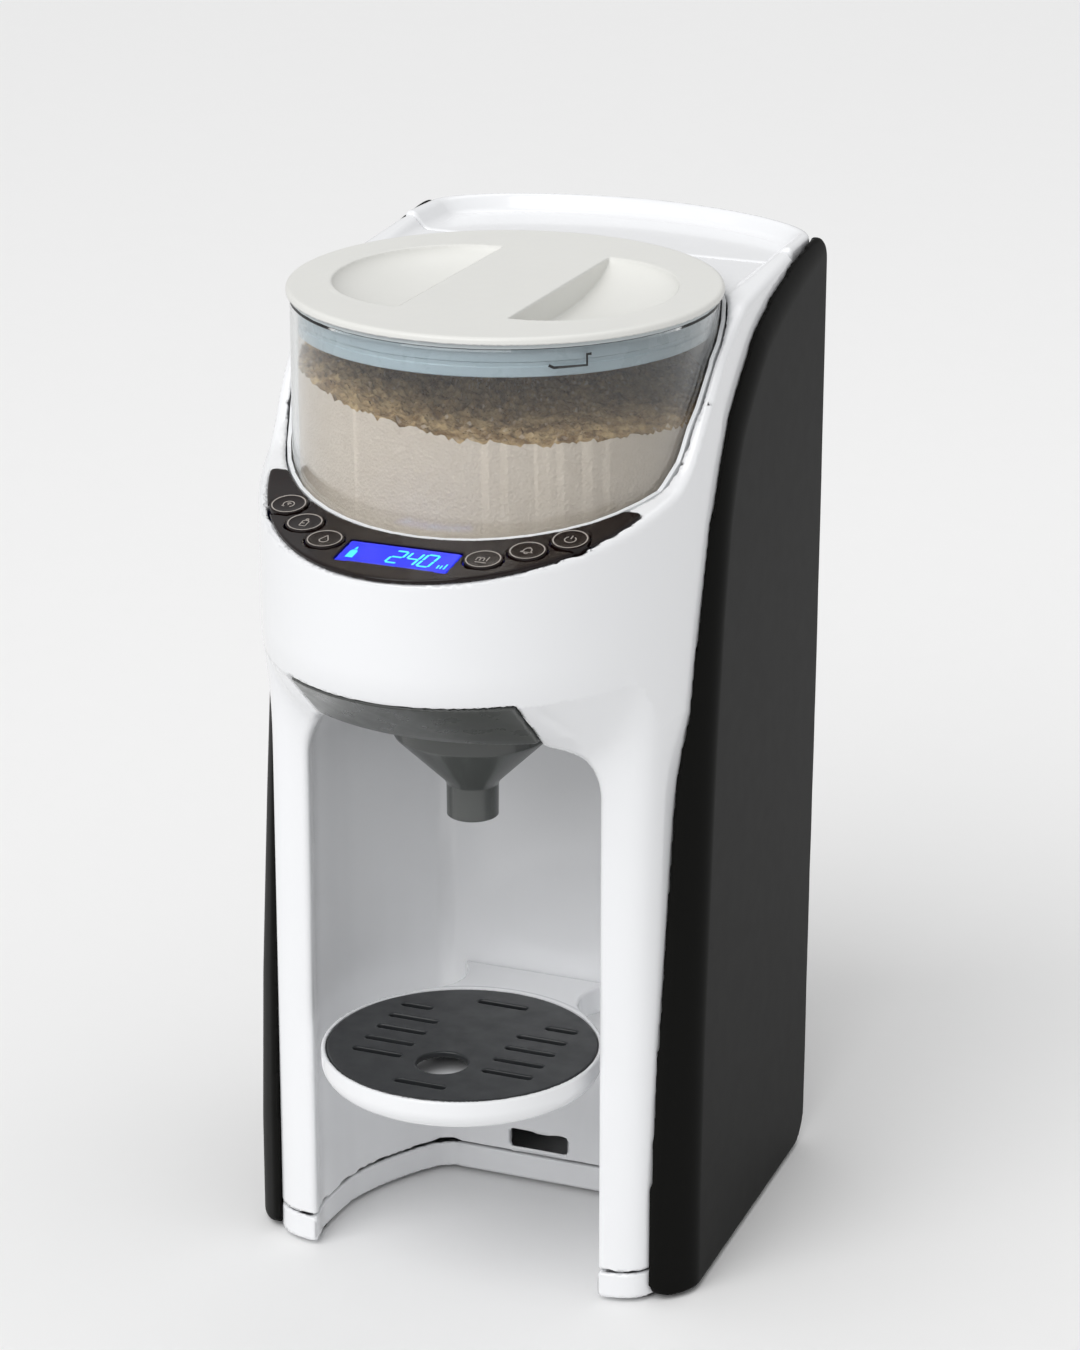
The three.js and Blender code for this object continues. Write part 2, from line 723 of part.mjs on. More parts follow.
function waterTank() {
  const outer = raised(rearOutline(TANK_FRONT, 0.6), SHELF + 1, TANK_TOP);
  const inner = raised(rearOutline(TANK_FRONT + 2.4, 3), SHELF + 3.8, TANK_TOP + 1);
  return cut(outer, inner, disc(6, SHELF - 1, SHELF + 6, 0, VALVE_Y, 20));
}

function tankValve() {
  return turned([[0, 31], [5, 31], [5, 44.8], [5, 45.7], [9, 45.7], [9, 48], [3, 50], [3, 56], [0, 56]], 0, VALVE_Y, 20);
}

function tankLid() {
  const outer = raised(rearOutline(TANK_FRONT, 1), TANK_TOP + GAP, 401.4);
  const dish = loft([
    { z: 396, points: rearOutline(TANK_FRONT + 5, 13) },
    { z: 402.4, points: rearOutline(TANK_FRONT + 3, 7) },
  ]);
  return cut(outer, dish);
}

function tankSocket() {
  return turned([[0, 22], [8.6, 22], [8.6, SHELF - 1.5], [5.6, SHELF - 1.5], [5.6, 25], [0, 25]], 0, VALVE_Y, 20);
}

part("water_tank", waterTank(), clear("#3a4246", 0.55));
part("tank_valve", tankValve(), GREY);
part("tank_lid", tankLid(), WHITE);
part("tank_socket", tankSocket(), GREY);

// Water path --------------------------------------------------------------------------------------

function waterPump() {
  const body = new THREE.CylinderGeometry(9.5, 9.5, 34, 28);
  body.rotateZ(Math.PI / 2);
  body.translate(PUMP_X, PUMP_Y, 26);
  const head = new THREE.CylinderGeometry(11, 11, 12, 28);
  head.rotateZ(Math.PI / 2);
  head.translate(PUMP_X - 19, PUMP_Y, 26);
  return join(solid(body), solid(head));
}

function heaterTank() {
  return turned(
    [[0, 118], [20, 118], [22, 120], [22, 208], [20, 212], [6, 214], [6, 220], [0, 220]],
    48,
    44,
    36,
  );
}

function waterNozzle() {
  return turned([[2, 251], [3.4, 251], [5, 256], [5, 266], [2, 266]], 21, OUTLET_Y, 24);
}

function powerSupply() {
  const board = box(-78, -26, 30, 33, 30, 150);
  const transformer = box(-68, -36, 32, 58, 60, 100);
  const bulk = rod(8, -52, 128, 32, 55, 24);
  return join(board, transformer, bulk);
}

function mainsInlet() {
  const body = box(-INLET_HALF, INLET_HALF, 116, 138, INLET_LOW, INLET_HIGH);
  const socket = box(-10, 10, 124, 140, 20.5, 31.5);
  const pins = [-4.3, 4.3].map((x) => rod(1.6, x, 26, 122, 134, 16));
  return join(cut(body, socket), ...pins);
}

part("water_pump", waterPump(), plastic("#3f4a52", 0.5));
part("heater_tank", heaterTank(), STEEL);
part("water_nozzle", waterNozzle(), plastic("#dfe3e4", 0.4));
part(
  "pump_hose",
  hose(3.2, 2, [[HOSE_X, 85, HOSE_Z], [HOSE_X, 72, HOSE_Z], [50, 56, 32], [48, 44, 60], [48, 44, 117.6]], 12),
  plastic("#cfd6d8", 0.4),
);
part(
  "outlet_hose",
  hose(
    3.2,
    2,
    [
      [48, 44, 221.2],
      [47.5, 43, 236],
      [36, 18, 262],
      [27, -18, 271],
      [22, -42, 276],
      [21, -49, 273],
      [21, OUTLET_Y, 267],
    ],
    14,
  ),
  plastic("#cfd6d8", 0.4),
);
part("power_supply", powerSupply(), BOARD);
part("mains_inlet", mainsInlet(), BLACK);
part("control_board", box(-38, 38, -119, -105, 303, 304.6), BOARD);

// Funnel ------------------------------------------------------------------------------------------

function funnel() {
  return turned(
    [
      [8.4, 193],
      [10.3, 193],
      [10.3, 207],
      [30, 226],
      [31.5, 228],
      [31.5, 243.1],
      [26.7, 243.1],
      [26.7, 248],
      [24.9, 248],
      [24.9, 230],
      [8.4, 209],
    ],
    0,
    OUTLET_Y,
    48,
  );
}

function funnelCover() {
  const [low, high] = [CEILING + 0.4, UNDERCUT_END + 0.6];
  const skin = cut(headLoft(0, SHELL_BACK, low, high), headLoft(WALL, SHELL_BACK + 5, low - 1, high + 1));
  const cover = skin.intersect(box(-DRAWER_HALF, DRAWER_HALF, -160, -80, low, high));
  const plate = headLoft(0, SHELL_BACK, low, low + 2.6).intersect(box(-DRAWER_HALF, DRAWER_HALF, -120, -15, low, high));
  return cut(join(cover, plate), disc(27, low - 1, low + 4, 0, OUTLET_Y, 24));
}

part("funnel", funnel(), clear("#4a4b49", 0.75));
part("funnel_cover", funnelCover(), clear("#3c3d3b", 0.85));

// Drip tray ---------------------------------------------------------------------------------------

function dripTray() {
  const dish = turned(
    [
      [0, TRAY_BOTTOM],
      [46, TRAY_BOTTOM],
      [52, TRAY_BOTTOM + 1.6],
      [55.5, TRAY_BOTTOM + 5],
      [TRAY_R, TRAY_BOTTOM + 9],
      [TRAY_R, TRAY_TOP],
      [GRILLE_R + 0.4, TRAY_TOP],
      [GRILLE_R + 0.4, TRAY_TOP - 3.2],
      [52.5, TRAY_TOP - 3.2],
      [50, TRAY_BOTTOM + 3],
      [0, TRAY_BOTTOM + 3],
    ],
    0,
    TRAY_Y,
    48,
  );
  const half = [[0, -30], [44, -30], [36, -18], [28, -9], [26, 0], [28, 9], [33, BAY_BACK - GAP]];
  const bracket = raised(mirrored(half), TRAY_BOTTOM + 1, TRAY_TOP);
  const tab = box(-11, 11, 14, 24, SLOT_TRAY + 1, SLOT_TRAY + 5);
  const hook = box(-11, 11, 21, 24, SLOT_TRAY + 1, SLOT_TRAY + 6.6);
  return join(cut(bracket, disc(TRAY_R - 0.6, 80, 110, 0, TRAY_Y, 40)), dish, tab, hook);
}

function dripGrille() {
  const plate = disc(GRILLE_R, TRAY_TOP - 2.8, TRAY_TOP, 0, TRAY_Y, 40);
  const cuts = [];
  const slot = (x0, x1, y) => box(x0, x1, y - 1.8, y + 1.8, 80, 110);
  SLOT_ROWS.forEach((y, i) => {
    const inner = i === 0 ? 25 : 17.5;
    cuts.push(slot(inner, 38.8, y), slot(-38.8, -inner, y));
  });
  cuts.push(slot(-11, 11, -103.5), slot(-11, 11, -20.5));
  cuts.push(disc(10.5, 80, 110, 0, -82, 32));
  return cut(plate, ...cuts);
}

part("drip_tray", dripTray(), WHITE);
part("drip_grille", dripGrille(), GRILLE);

export default group;
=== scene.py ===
import math
import bpy
import numpy as np
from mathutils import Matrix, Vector


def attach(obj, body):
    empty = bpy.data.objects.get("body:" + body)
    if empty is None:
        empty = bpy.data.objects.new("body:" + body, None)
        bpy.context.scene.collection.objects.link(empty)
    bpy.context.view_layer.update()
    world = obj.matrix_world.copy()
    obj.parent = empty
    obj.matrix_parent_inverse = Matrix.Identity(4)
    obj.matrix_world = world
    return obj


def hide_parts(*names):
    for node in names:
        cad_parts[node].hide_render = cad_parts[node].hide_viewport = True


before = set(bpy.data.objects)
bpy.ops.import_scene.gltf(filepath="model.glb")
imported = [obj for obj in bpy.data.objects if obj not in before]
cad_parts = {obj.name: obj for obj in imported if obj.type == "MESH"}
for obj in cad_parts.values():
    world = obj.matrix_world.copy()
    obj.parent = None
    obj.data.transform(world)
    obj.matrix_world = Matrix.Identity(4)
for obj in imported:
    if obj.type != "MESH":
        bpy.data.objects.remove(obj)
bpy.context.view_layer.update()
MM = 0.001

# ------------------------------------------------------------------------------
# White housing: base tray
# A horseshoe tray of injection-moulded white ABS under the machine. The shell above it is screwed down on it,
# which leaves a thin seam all round. All the white mouldings share one plan: an oval nose and gently tapering
# sides. Sizes here are in millimetres, +Z up, with the front towards -Y.

AXIS_Y = -16            # the hopper's axis, and the centre of the oval nose
HALF_WIDTH = 90
NOSE = 122              # hopper axis to the front of the head
SIDE_TAPER = 0.048
REAR_START, REAR_DEPTH, REAR_POWER = 100, 38, 1.7
LEG_HALF, LEG_NOSE, LEG_POWER = 84, 56, 8
LEG_TOP, UNDERCUT_LOW, UNDERCUT_HIGH, HEAD_LOW = 200, 246, 266, 280
BASE_BOTTOM, SEAM = 2, 13
WALL = 3
DETAIL = 1.0    # how coarse the moulded skins are drawn


def linear(code):
    """An sRGB hex colour as the linear colour that a shader takes."""
    parts = [int(code[i:i + 2], 16) / 255 for i in (1, 3, 5)]
    return [c / 12.92 if c <= 0.04045 else ((c + 0.055) / 1.055) ** 2.4 for c in parts] + [1]


def add_node(material, kind, settings=None, **links):
    """Adds a shader node: settings are its own properties or input values, links are input = (node, output)."""
    tree = material.node_tree
    made = tree.nodes.new(kind)
    for key, value in (settings or {}).items():
        if key in made.inputs:
            made.inputs[key].default_value = value
        else:
            setattr(made, key, value)
    for key, (source, output) in links.items():
        name = key.replace("_", " ")
        tree.links.new(source.outputs[output], made.inputs[name if name in made.inputs else int(key[1:])])
    return made


def new_material(name):
    """A material with nothing in it yet, its node tree, and its object coordinates."""
    material = bpy.data.materials.new(name)
    material.use_nodes = True
    material.node_tree.nodes.clear()
    return material, material.node_tree, add_node(material, "ShaderNodeTexCoord")


def noise(material, place, size, detail, **settings):
    """A noise texture with features of a size in millimetres."""
    settings = {"Scale": 1 / (size * MM), "Detail": detail, **settings}
    return add_node(material, "ShaderNodeTexNoise", settings, Vector=(place, "Object"))


CLOUD_SIZE, WIPE_SIZE = 35, 9     # how wide the patches of colour and of roughness are


def moulded(name, colour, rough, grain, relief, spread=0.04, ior=1.53, coat=0.0, wander=0.17, **extra):
    """Moulded plastic: a faint cloud in the colour, a roughness that wanders, and the tool's grain as bump."""
    material, tree, place = new_material(name)
    cloud = noise(material, place, CLOUD_SIZE, 3)
    base = linear(colour)
    dark = [c * (1 - spread) for c in base[:3]] + [1]
    tint = add_node(material, "ShaderNodeMix", {"data_type": "RGBA"})
    tint.inputs["A"].default_value, tint.inputs["B"].default_value = dark, base
    tree.links.new(cloud.outputs["Fac"], tint.inputs["Factor"])
    wipe = noise(material, place, WIPE_SIZE, 4)
    limits = {"From Min": 0.3, "From Max": 0.7, "To Min": rough * (1 - wander), "To Max": rough * (1 + wander)}
    gloss = add_node(material, "ShaderNodeMapRange", limits, Value=(wipe, "Fac"))
    tooled = noise(material, place, grain, 2)
    depth = {"Strength": 1.0, "Distance": relief * MM}
    bump = add_node(material, "ShaderNodeBump", depth, Height=(tooled, "Fac"))
    shader = add_node(material, "ShaderNodeBsdfPrincipled", {"IOR": ior, "Coat Weight": coat, **extra},
                      Roughness=(gloss, "Result"), Normal=(bump, "Normal"))
    tree.links.new(tint.outputs["Result"], shader.inputs["Base Color"])
    add_node(material, "ShaderNodeOutputMaterial", Surface=(shader, "BSDF"))
    return material


def polar(across, along, a, b, power):
    """Radius of a rounded oval in the direction with these sine and cosine."""
    return (np.abs(across / a) ** power + np.abs(along / b) ** power) ** (-1 / power)


def nose_reach(z):
    """How far the front stands out of the hopper axis at a height: legs, swelling, undercut, head."""
    swell = 50 + 43 * np.clip((z - LEG_TOP) / (UNDERCUT_LOW - LEG_TOP), 0, 1) ** 1.5
    under = 26 * np.clip((z - UNDERCUT_LOW) / (UNDERCUT_HIGH - UNDERCUT_LOW), 0, 1)
    rest = np.clip(1 - (z - UNDERCUT_HIGH) / (HEAD_LOW - UNDERCUT_HIGH), 0, 1)
    return swell + under + 3 * (1 - rest ** 2)


def half_width(y):
    oval = HALF_WIDTH * np.sqrt(np.clip(1 - ((y - AXIS_Y) / NOSE) ** 2, 0, 1))
    return np.where(y < AXIS_Y, oval, HALF_WIDTH - SIDE_TAPER * (y - AXIS_Y))


REAR_HALF = float(half_width(np.array(REAR_START)))
SOFT_POWER = 24         # how gently the head runs into the legs


def side(x, y, z):
    """How far a point is outside the body's side wall, going round the nose, the flanks and the rear."""
    x = np.abs(x)
    ahead = AXIS_Y - y
    radius = np.hypot(x, ahead) + 1e-6
    across, along = x / radius, ahead / radius
    full = polar(across, along, HALF_WIDTH, NOSE, 2)
    leg = polar(across, along, LEG_HALF, LEG_NOSE, LEG_POWER)
    head = polar(across, along, HALF_WIDTH, nose_reach(z), 2)
    front = radius - np.minimum(full, (leg ** SOFT_POWER + head ** SOFT_POWER) ** (1 / SOFT_POWER))
    behind = np.hypot(x, y - REAR_START) + 1e-6
    rear = behind - polar(x / behind, (y - REAR_START) / behind, REAR_HALF, REAR_DEPTH, REAR_POWER)
    return np.where(ahead > 0, front, np.where(y > REAR_START, rear, x - half_width(y)))


def both(a, b, radius=0.0):
    """What is inside both a and b, with the edge between them rounded to a radius."""
    if radius <= 0:
        return np.maximum(a, b)
    corner = np.hypot(np.maximum(a + radius, 0), np.maximum(b + radius, 0)) - radius
    return np.where((a > -radius) & (b > -radius), corner, np.maximum(a, b))


def either(a, b, radius=0.0):
    return -both(-a, -b, radius)


def without(a, b, radius=0.0):
    return both(a, -b, radius)


def block(x, y, z, low, high, radius=0.0):
    """A box between two corners."""
    flat = both(np.maximum(low[0] - x, x - high[0]), np.maximum(low[1] - y, y - high[1]), radius)
    return both(flat, np.maximum(low[2] - z, z - high[2]), radius)


BAY_EDGE = [(-150, 62), (-69, 62), (-58, 65), (-39, 65), (-28, 64),
            (-18, 61), (-10, 58), (4, 51), (14, 44), (20, 38)]
BAY_BACK, CEILING, BAY_ARCH = 17, 243, 28


def smoothed(points, reach, step=1.0):
    """A broken line of (position, value) with its corners worn round over a reach, as two arrays."""
    at = np.arange(points[0][0] - 3 * reach, points[-1][0] + 3 * reach, step)
    value = np.interp(at, *zip(*points))
    ends = (points[0][1], points[-1][1])
    slopes = [(b[1] - a[1]) / (b[0] - a[0]) for a, b in (points[:2], points[-2:])]
    value = np.where(at < points[0][0], ends[0] + slopes[0] * (at - points[0][0]), value)
    value = np.where(at > points[-1][0], ends[1] + slopes[1] * (at - points[-1][0]), value)
    size = int(round(reach / step))
    kernel = np.hanning(2 * size + 3)[1:-1]
    padded = np.pad(value, size, mode="reflect", reflect_type="odd")
    return at, np.convolve(padded, kernel / kernel.sum(), mode="valid")


BAY_CURVE = smoothed(BAY_EDGE, 6)


def bay(x, y, z):
    """The bottle bay: an arched niche that narrows towards a flat rear wall."""
    across = np.abs(x) - np.interp(y, *BAY_CURVE)
    return both(both(across, z - CEILING, BAY_ARCH), y - BAY_BACK, 4)


SETTLE_TURNS, RELAX_TURNS, REPAIR_TURNS = 6, 3, 12
FURTHEST = 0.7          # the longest move of a point in one turn, in grid steps


def skin(name, solid, low, high, step, material):
    """Draws the surface of a solid given as a signed distance in millimetres: one point in each cell that the
    surface crosses, moved on to the surface, and one face for each grid edge that goes through it."""
    step = step * DETAIL
    axes = [np.arange(a - 2 * step, b + 2 * step, step) + 0.0137 for a, b in zip(low, high)]
    grid = np.broadcast_to(solid(*np.ix_(*axes)), [len(a) for a in axes]).astype(np.float32)
    inside = grid < 0
    count = np.zeros([n - 1 for n in grid.shape], np.float32)
    total = np.zeros([*count.shape, 3], np.float32)
    corners = [slice(0, -1), slice(1, None)]
    for axis in range(3):
        first, second = [slice(None)] * 3, [slice(None)] * 3
        first[axis], second[axis] = corners
        a, b = grid[tuple(first)], grid[tuple(second)]
        crossed = (a < 0) != (b < 0)
        share = np.where(crossed, a / np.where(crossed, a - b, 1), 0)
        others = [i for i in range(3) if i != axis]
        for u in (0, 1):
            for v in (0, 1):
                pick = [slice(None)] * 3
                pick[others[0]], pick[others[1]] = corners[u], corners[v]
                hit, along = crossed[tuple(pick)], share[tuple(pick)]
                count += hit
                total[..., axis] += hit * along
                total[..., others[0]] += hit * u
                total[..., others[1]] += hit * v
    used = count > 0
    cells = np.argwhere(used)
    points = total[used] / count[used][:, None] + cells
    points = np.stack([axes[i][0] + points[:, i] * step for i in range(3)], axis=1).astype(np.float64)
    label = np.full(count.shape, -1, np.int64)
    label[used] = np.arange(len(cells))
    faces = []
    for axis in range(3):
        first, second = [slice(1, -1)] * 3, [slice(1, -1)] * 3
        first[axis], second[axis] = slice(0, -1), slice(1, None)
        a, b = inside[tuple(first)], inside[tuple(second)]
        u, v = [(1, 2), (2, 0), (0, 1)][axis]
        start = np.argwhere(a != b)
        leaving = a[tuple(start.T)]
        spot = start.copy()
        spot[:, [u, v]] += 1
        ring = []
        for du, dv in ((-1, -1), (0, -1), (0, 0), (-1, 0)):
            cell = spot.copy()
            cell[:, u] += du
            cell[:, v] += dv
            ring.append(label[tuple(cell.T)])
        ring = np.stack(ring, axis=1)
        ring[~leaving] = ring[~leaving][:, ::-1]
        faces.append(ring)
    faces = np.concatenate(faces)
    around = np.concatenate([faces[:, [i, (i + 1) % 4]] for i in range(4)])
    around = np.concatenate([around, around[:, ::-1]])
    degree = np.bincount(around[:, 0], minlength=len(points))[:, None]

    def neighbours(values):
        return np.stack([np.bincount(around[:, 0], values[around[:, 1], i], len(points)) for i in range(3)],
                        axis=1) / degree

    for turn in range(SETTLE_TURNS):
        slope = gradient(solid, points)
        size = np.linalg.norm(slope, axis=1)[:, None] + 1e-9
        gap = solid(*points.T)[:, None] / np.maximum(size, 0.5)
        points -= np.clip(gap, -FURTHEST * step, FURTHEST * step) * slope / size
        normal = slope / size
        flat = (neighbours(normal) * normal).sum(axis=1)
        if turn < RELAX_TURNS:   # near an edge the points also even out their spacing
            points += np.clip((flat[:, None] - 0.88) / 0.08, 0, 1) * 0.6 * (neighbours(points) - points)
    for _ in range(REPAIR_TURNS):   # faces that folded over are smoothed and brought back to the surface
        folded = (face_normals(points, faces)[:, None, :] * normal[faces]).sum(axis=2).min(axis=1) < 0.35
        if not folded.any():
            break
        loose = np.zeros(len(points), bool)
        loose[faces[folded]] = True
        points[loose] += 0.7 * (neighbours(points) - points)[loose]
        normal[loose] = unit(gradient(solid, points[loose]))
        here = solid(*points[loose].T)[:, None]
        points[loose] -= 0.6 * np.clip(here, -FURTHEST * step, FURTHEST * step) * normal[loose]
    normal = unit(gradient(solid, points))
    flat = np.repeat(face_normals(points, faces), 4, axis=0)
    plain = unit(np.stack([np.bincount(faces.ravel(), flat[:, i], len(points)) for i in range(3)], axis=1))
    trusted = (plain * normal).sum(axis=1)[:, None] > 0.8
    return mesh_piece(name, points, faces, material, np.where(trusted, normal, plain))


def unit(rows):
    return rows / (np.linalg.norm(rows, axis=1)[:, None] + 1e-9)


def face_normals(points, faces):
    corners = points[faces]
    return unit(np.cross(corners[:, 2] - corners[:, 0], corners[:, 3] - corners[:, 1]))


def gradient(solid, points, reach=0.06):
    """The direction in which the signed distance grows, at each point."""
    rows = []
    for axis in range(3):
        move = np.zeros(3)
        move[axis] = reach
        rows.append((solid(*(points + move).T) - solid(*(points - move).T)) / (2 * reach))
    return np.stack(rows, axis=1)


def mesh_piece(name, points, faces, material, normals=None, sharp=None):
    """A piece from points in millimetres and faces; normals make it shade as the true surface does."""
    mesh = bpy.data.meshes.new(name)
    if isinstance(faces, np.ndarray):
        mesh.vertices.add(len(points))
        mesh.vertices.foreach_set("co", (np.asarray(points, np.float32) * MM).ravel())
        mesh.loops.add(faces.size)
        mesh.loops.foreach_set("vertex_index", faces.astype(np.int32).ravel())
        mesh.polygons.add(len(faces))
        mesh.polygons.foreach_set("loop_start", np.arange(0, faces.size, faces.shape[1], dtype=np.int32))
        mesh.update(calc_edges=True)
    else:
        mesh.from_pydata([[c * MM for c in p] for p in points], [], faces)
    mesh.validate()
    mesh.polygons.foreach_set("use_smooth", [True] * len(mesh.polygons))
    mesh.materials.append(material)
    piece = bpy.data.objects.new(name, mesh)
    bpy.context.collection.objects.link(piece)
    if normals is not None:
        mesh.normals_split_custom_set_from_vertices(normals.astype(np.float32))
    if sharp is not None:
        mesh.set_sharp_from_angle(angle=math.radians(sharp))
    return piece


def fitted(piece, body, slot, *nodes):
    """Rides a piece on its body and hides the plain solid that it stands for; the finish given as slot is not
    used.
    """
    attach(piece, body)
    if nodes:
        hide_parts(*nodes)
    return piece


# Gloss ABS from a polished tool: a bright, slightly cool white with the faintest ripple in its reflections.
white_abs = moulded("moulded gloss white ABS", "#ECEDEF", 0.17, 6, 0.012, spread=0.02, coat=0.25)


def base_tray(x, y, z):
    wall = side(x, y, SEAM)
    niche = np.maximum(bay(x, y, 100), z - 60)
    outer = both(both(wall, BASE_BOTTOM - z, 1.4), z - SEAM, 0.5)
    hollow = np.maximum(np.maximum(wall + WALL, BASE_BOTTOM + WALL - z), WALL - niche)
    return without(without(outer, niche, 0.8), hollow)


fitted(skin("base_tray_moulding", base_tray, (-90, -76, 2), (90, 138, 13), 1.5, white_abs),
       "body", "white_gloss_abs", "base_tray")

# ------------------------------------------------------------------------------
# Feet and screws
# Four turned pads of black thermoplastic rubber carry the machine, and four plated screws hold tray and
# shell.

foot_rubber = moulded("moulded foot rubber", "#262626", 0.85, 0.8, 0.05, spread=0.2, ior=1.5)
screw_steel = moulded("zinc-plated screw steel", "#A9ACAE", 0.32, 0.5, 0.01, spread=0.1, Metallic=1.0)


def repaint(node, material):
    """Gives a solid that is shown as it is one finish all over."""
    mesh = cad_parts[node].data
    mesh.materials.clear()
    mesh.materials.append(material)
    mesh.polygons.foreach_set("material_index", [0] * len(mesh.polygons))


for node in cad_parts:
    if node.startswith("foot_"):
        repaint(node, foot_rubber)
    elif node.startswith("base_screw_"):
        repaint(node, screw_steel)

# ------------------------------------------------------------------------------
# Front shell
# One large white ABS moulding: the head with its undercut, the two legs, the bottle bay between them, and the
# deck that climbs in a long S round the hopper. Its wall is 3 mm, and every outer edge is softly rounded.

DECK = smoothed([(-150, 316), (-138, 317.6), (-118, 320.5), (-100, 323.5), (-75, 329), (-50, 336), (-40, 345),
                 (-33, 357), (-14, 379), (14, 394), (66, 399), (89, 401)], 7)
SHELL_BACK = 72
WELL_R, WELL_FLOOR = 86, 283
TOP_PLAN, DISH, DISH_RIM = 390, 394.8, 10.5
SHELL_LIP, LIP_LOW = 4.1, 388.6
CELL_POCKET = (-26, -128, 300), (26, -108, 340)
PANEL_A, PANEL_B, PANEL_END = 85.5, 121.5, -66
PANEL_THICK, FIT = 1.9, 0.3
DRAWER_HALF = 46
SLOT_HALF, SLOT_HIGH, SLOT_HEIGHTS = 13, 7.5, (16, 86)
BUTTON_R = 7.5
BUTTONS = {
    "button_prime": (-58.2, -91), "button_menu": (-45.8, -102.8), "button_volume": (-32.5, -113.5),
    "button_unit": (32.5, -113.5), "button_alarm": (45.8, -102.8), "button_power": (58.2, -91),
}


def deck(y):
    return np.interp(y, *DECK)


def round_the_axis(x, y, centre=AXIS_Y):
    return np.hypot(x, y - centre)


def top_dish(x, y, z):
    """The flat dish in the machine's top, inside a rim that slopes in; it runs from the hopper to the rear."""
    slope = 0.8 * (z - DISH)
    return both(side(x, y, TOP_PLAN) + DISH_RIM - slope, DISH - z, 2)


def crescent(x, y, grow=0.0):
    """The control panel's plan: an oval with the hopper's circle taken out and two blunt, rounded ends."""
    ahead = AXIS_Y - y
    radius = np.hypot(x, ahead) + 1e-6
    oval = radius - polar(x / radius, ahead / radius, PANEL_A + grow, PANEL_B + grow, 2)
    ends = y - (PANEL_END + grow)
    return both(both(oval, ends, 3), WELL_R + 0.2 - grow - radius, 1.5)


def front_shell(x, y, z):
    wall = side(x, y, z)
    top = (z - deck(y)) * 0.92
    niche = bay(x, y, z)
    back = SHELL_BACK + SHELL_LIP * np.clip(z - LIP_LOW, 0, 1)
    solid = both(both(wall, top, 3.2), y - back, 0.3)
    solid = without(solid, niche, 3.4)
    under = np.interp(z, (236, UNDERCUT_LOW, UNDERCUT_HIGH, 276), (0, 2, 2, 0))
    hollow = both(both(wall + WALL + under, z - np.minimum(deck(y), DISH) + 4), WALL - niche)
    solid = without(solid, hollow)
    solid = without(solid, top_dish(x, y, z), 1.5)
    solid = without(solid, both(round_the_axis(x, y) - WELL_R, WELL_FLOOR - z), 1.8)
    solid = without(solid, both(crescent(x, y, FIT), deck(y) - PANEL_THICK - FIT - z), 0.25)
    half = DRAWER_HALF + FIT
    drawer = block(x, y, z, (-half, -170, 238), (half, -14, UNDERCUT_HIGH + 1), 1.5)
    solid = without(solid, drawer, 0.6)
    solid = without(solid, block(x, y, z, *CELL_POCKET))
    for at_x, at_y in BUTTONS.values():
        solid = without(solid, np.hypot(x - at_x, y - at_y) - BUTTON_R - 0.8 + np.where(z < 300, 50, 0))
    for low in SLOT_HEIGHTS:
        slot = block(x, y, z, (-SLOT_HALF, BAY_BACK - 6, low), (SLOT_HALF, BAY_BACK + 8, low + SLOT_HIGH), 2)
        solid = without(solid, slot, 0.7)
    return both(solid, SEAM + FIT - z, 0.5)


fitted(skin("front_shell_moulding", front_shell, (-90, -138, 13), (90, 76.5, 400), 1.7, white_abs),
       "body", "white_gloss_abs", "front_shell")

# ------------------------------------------------------------------------------
# Side panels
# Two black ABS mouldings with a fine spark-eroded grain, clipped on to the flanks. Each one's front edge
# leans back from the foot, rolls over the shoulder in an S and runs out along the top, and its face rolls in
# to that edge.

PANEL_EDGE = smoothed([(-40, -64), (45, -64), (110, -60), (190, -51), (230, -46), (280, -37), (318, -28),
                       (338, -20), (352, -12), (364, 0), (374, 12), (384, 26), (391, 46), (397, 70),
                       (401, 88), (403, 100)], 6)
PANEL_HALF, PANEL_TAPER, PANEL_TOP = 94, 0.055, 401.2
PANEL_REAR = [(0, 104), (110, 106), (200, 109), (300, 111), (400, 112)]


def edge_distance(y, z):
    """How far a point of the panel's side view lies inside its leaning front and top edge."""
    heights, fronts = PANEL_EDGE[0][::4], PANEL_EDGE[1][::4]
    y, z = np.broadcast_arrays(y, z)
    near = np.full(y.shape, 1e9)
    for i in range(len(heights) - 1):
        du, dv = fronts[i + 1] - fronts[i], heights[i + 1] - heights[i]
        share = np.clip(((y - fronts[i]) * du + (z - heights[i]) * dv) / (du * du + dv * dv), 0, 1)
        near = np.minimum(near, (y - fronts[i] - share * du) ** 2 + (z - heights[i] - share * dv) ** 2)
    inside = y > np.interp(z, *PANEL_EDGE)
    return np.sqrt(near) * np.where(inside, 1, -1)


def side_panel(x, y, z):
    inward = edge_distance(y, z)
    flat = PANEL_HALF - PANEL_TAPER * y
    roll = flat - half_width(y) - 1.3
    face = flat - roll * np.clip(1 - inward / (8 + 1.5 * roll), 0, 1) ** 2
    rear = y - np.interp(z, *zip(*PANEL_REAR))
    outline = both(both(rear, z - PANEL_TOP, 12), BASE_BOTTOM - z, 14)
    outline = both(outline, -inward, 6)
    panel = both(x - face, outline, 1.4)
    return both(panel, FIT - side(x, y, np.minimum(z, 400)), 0.2)


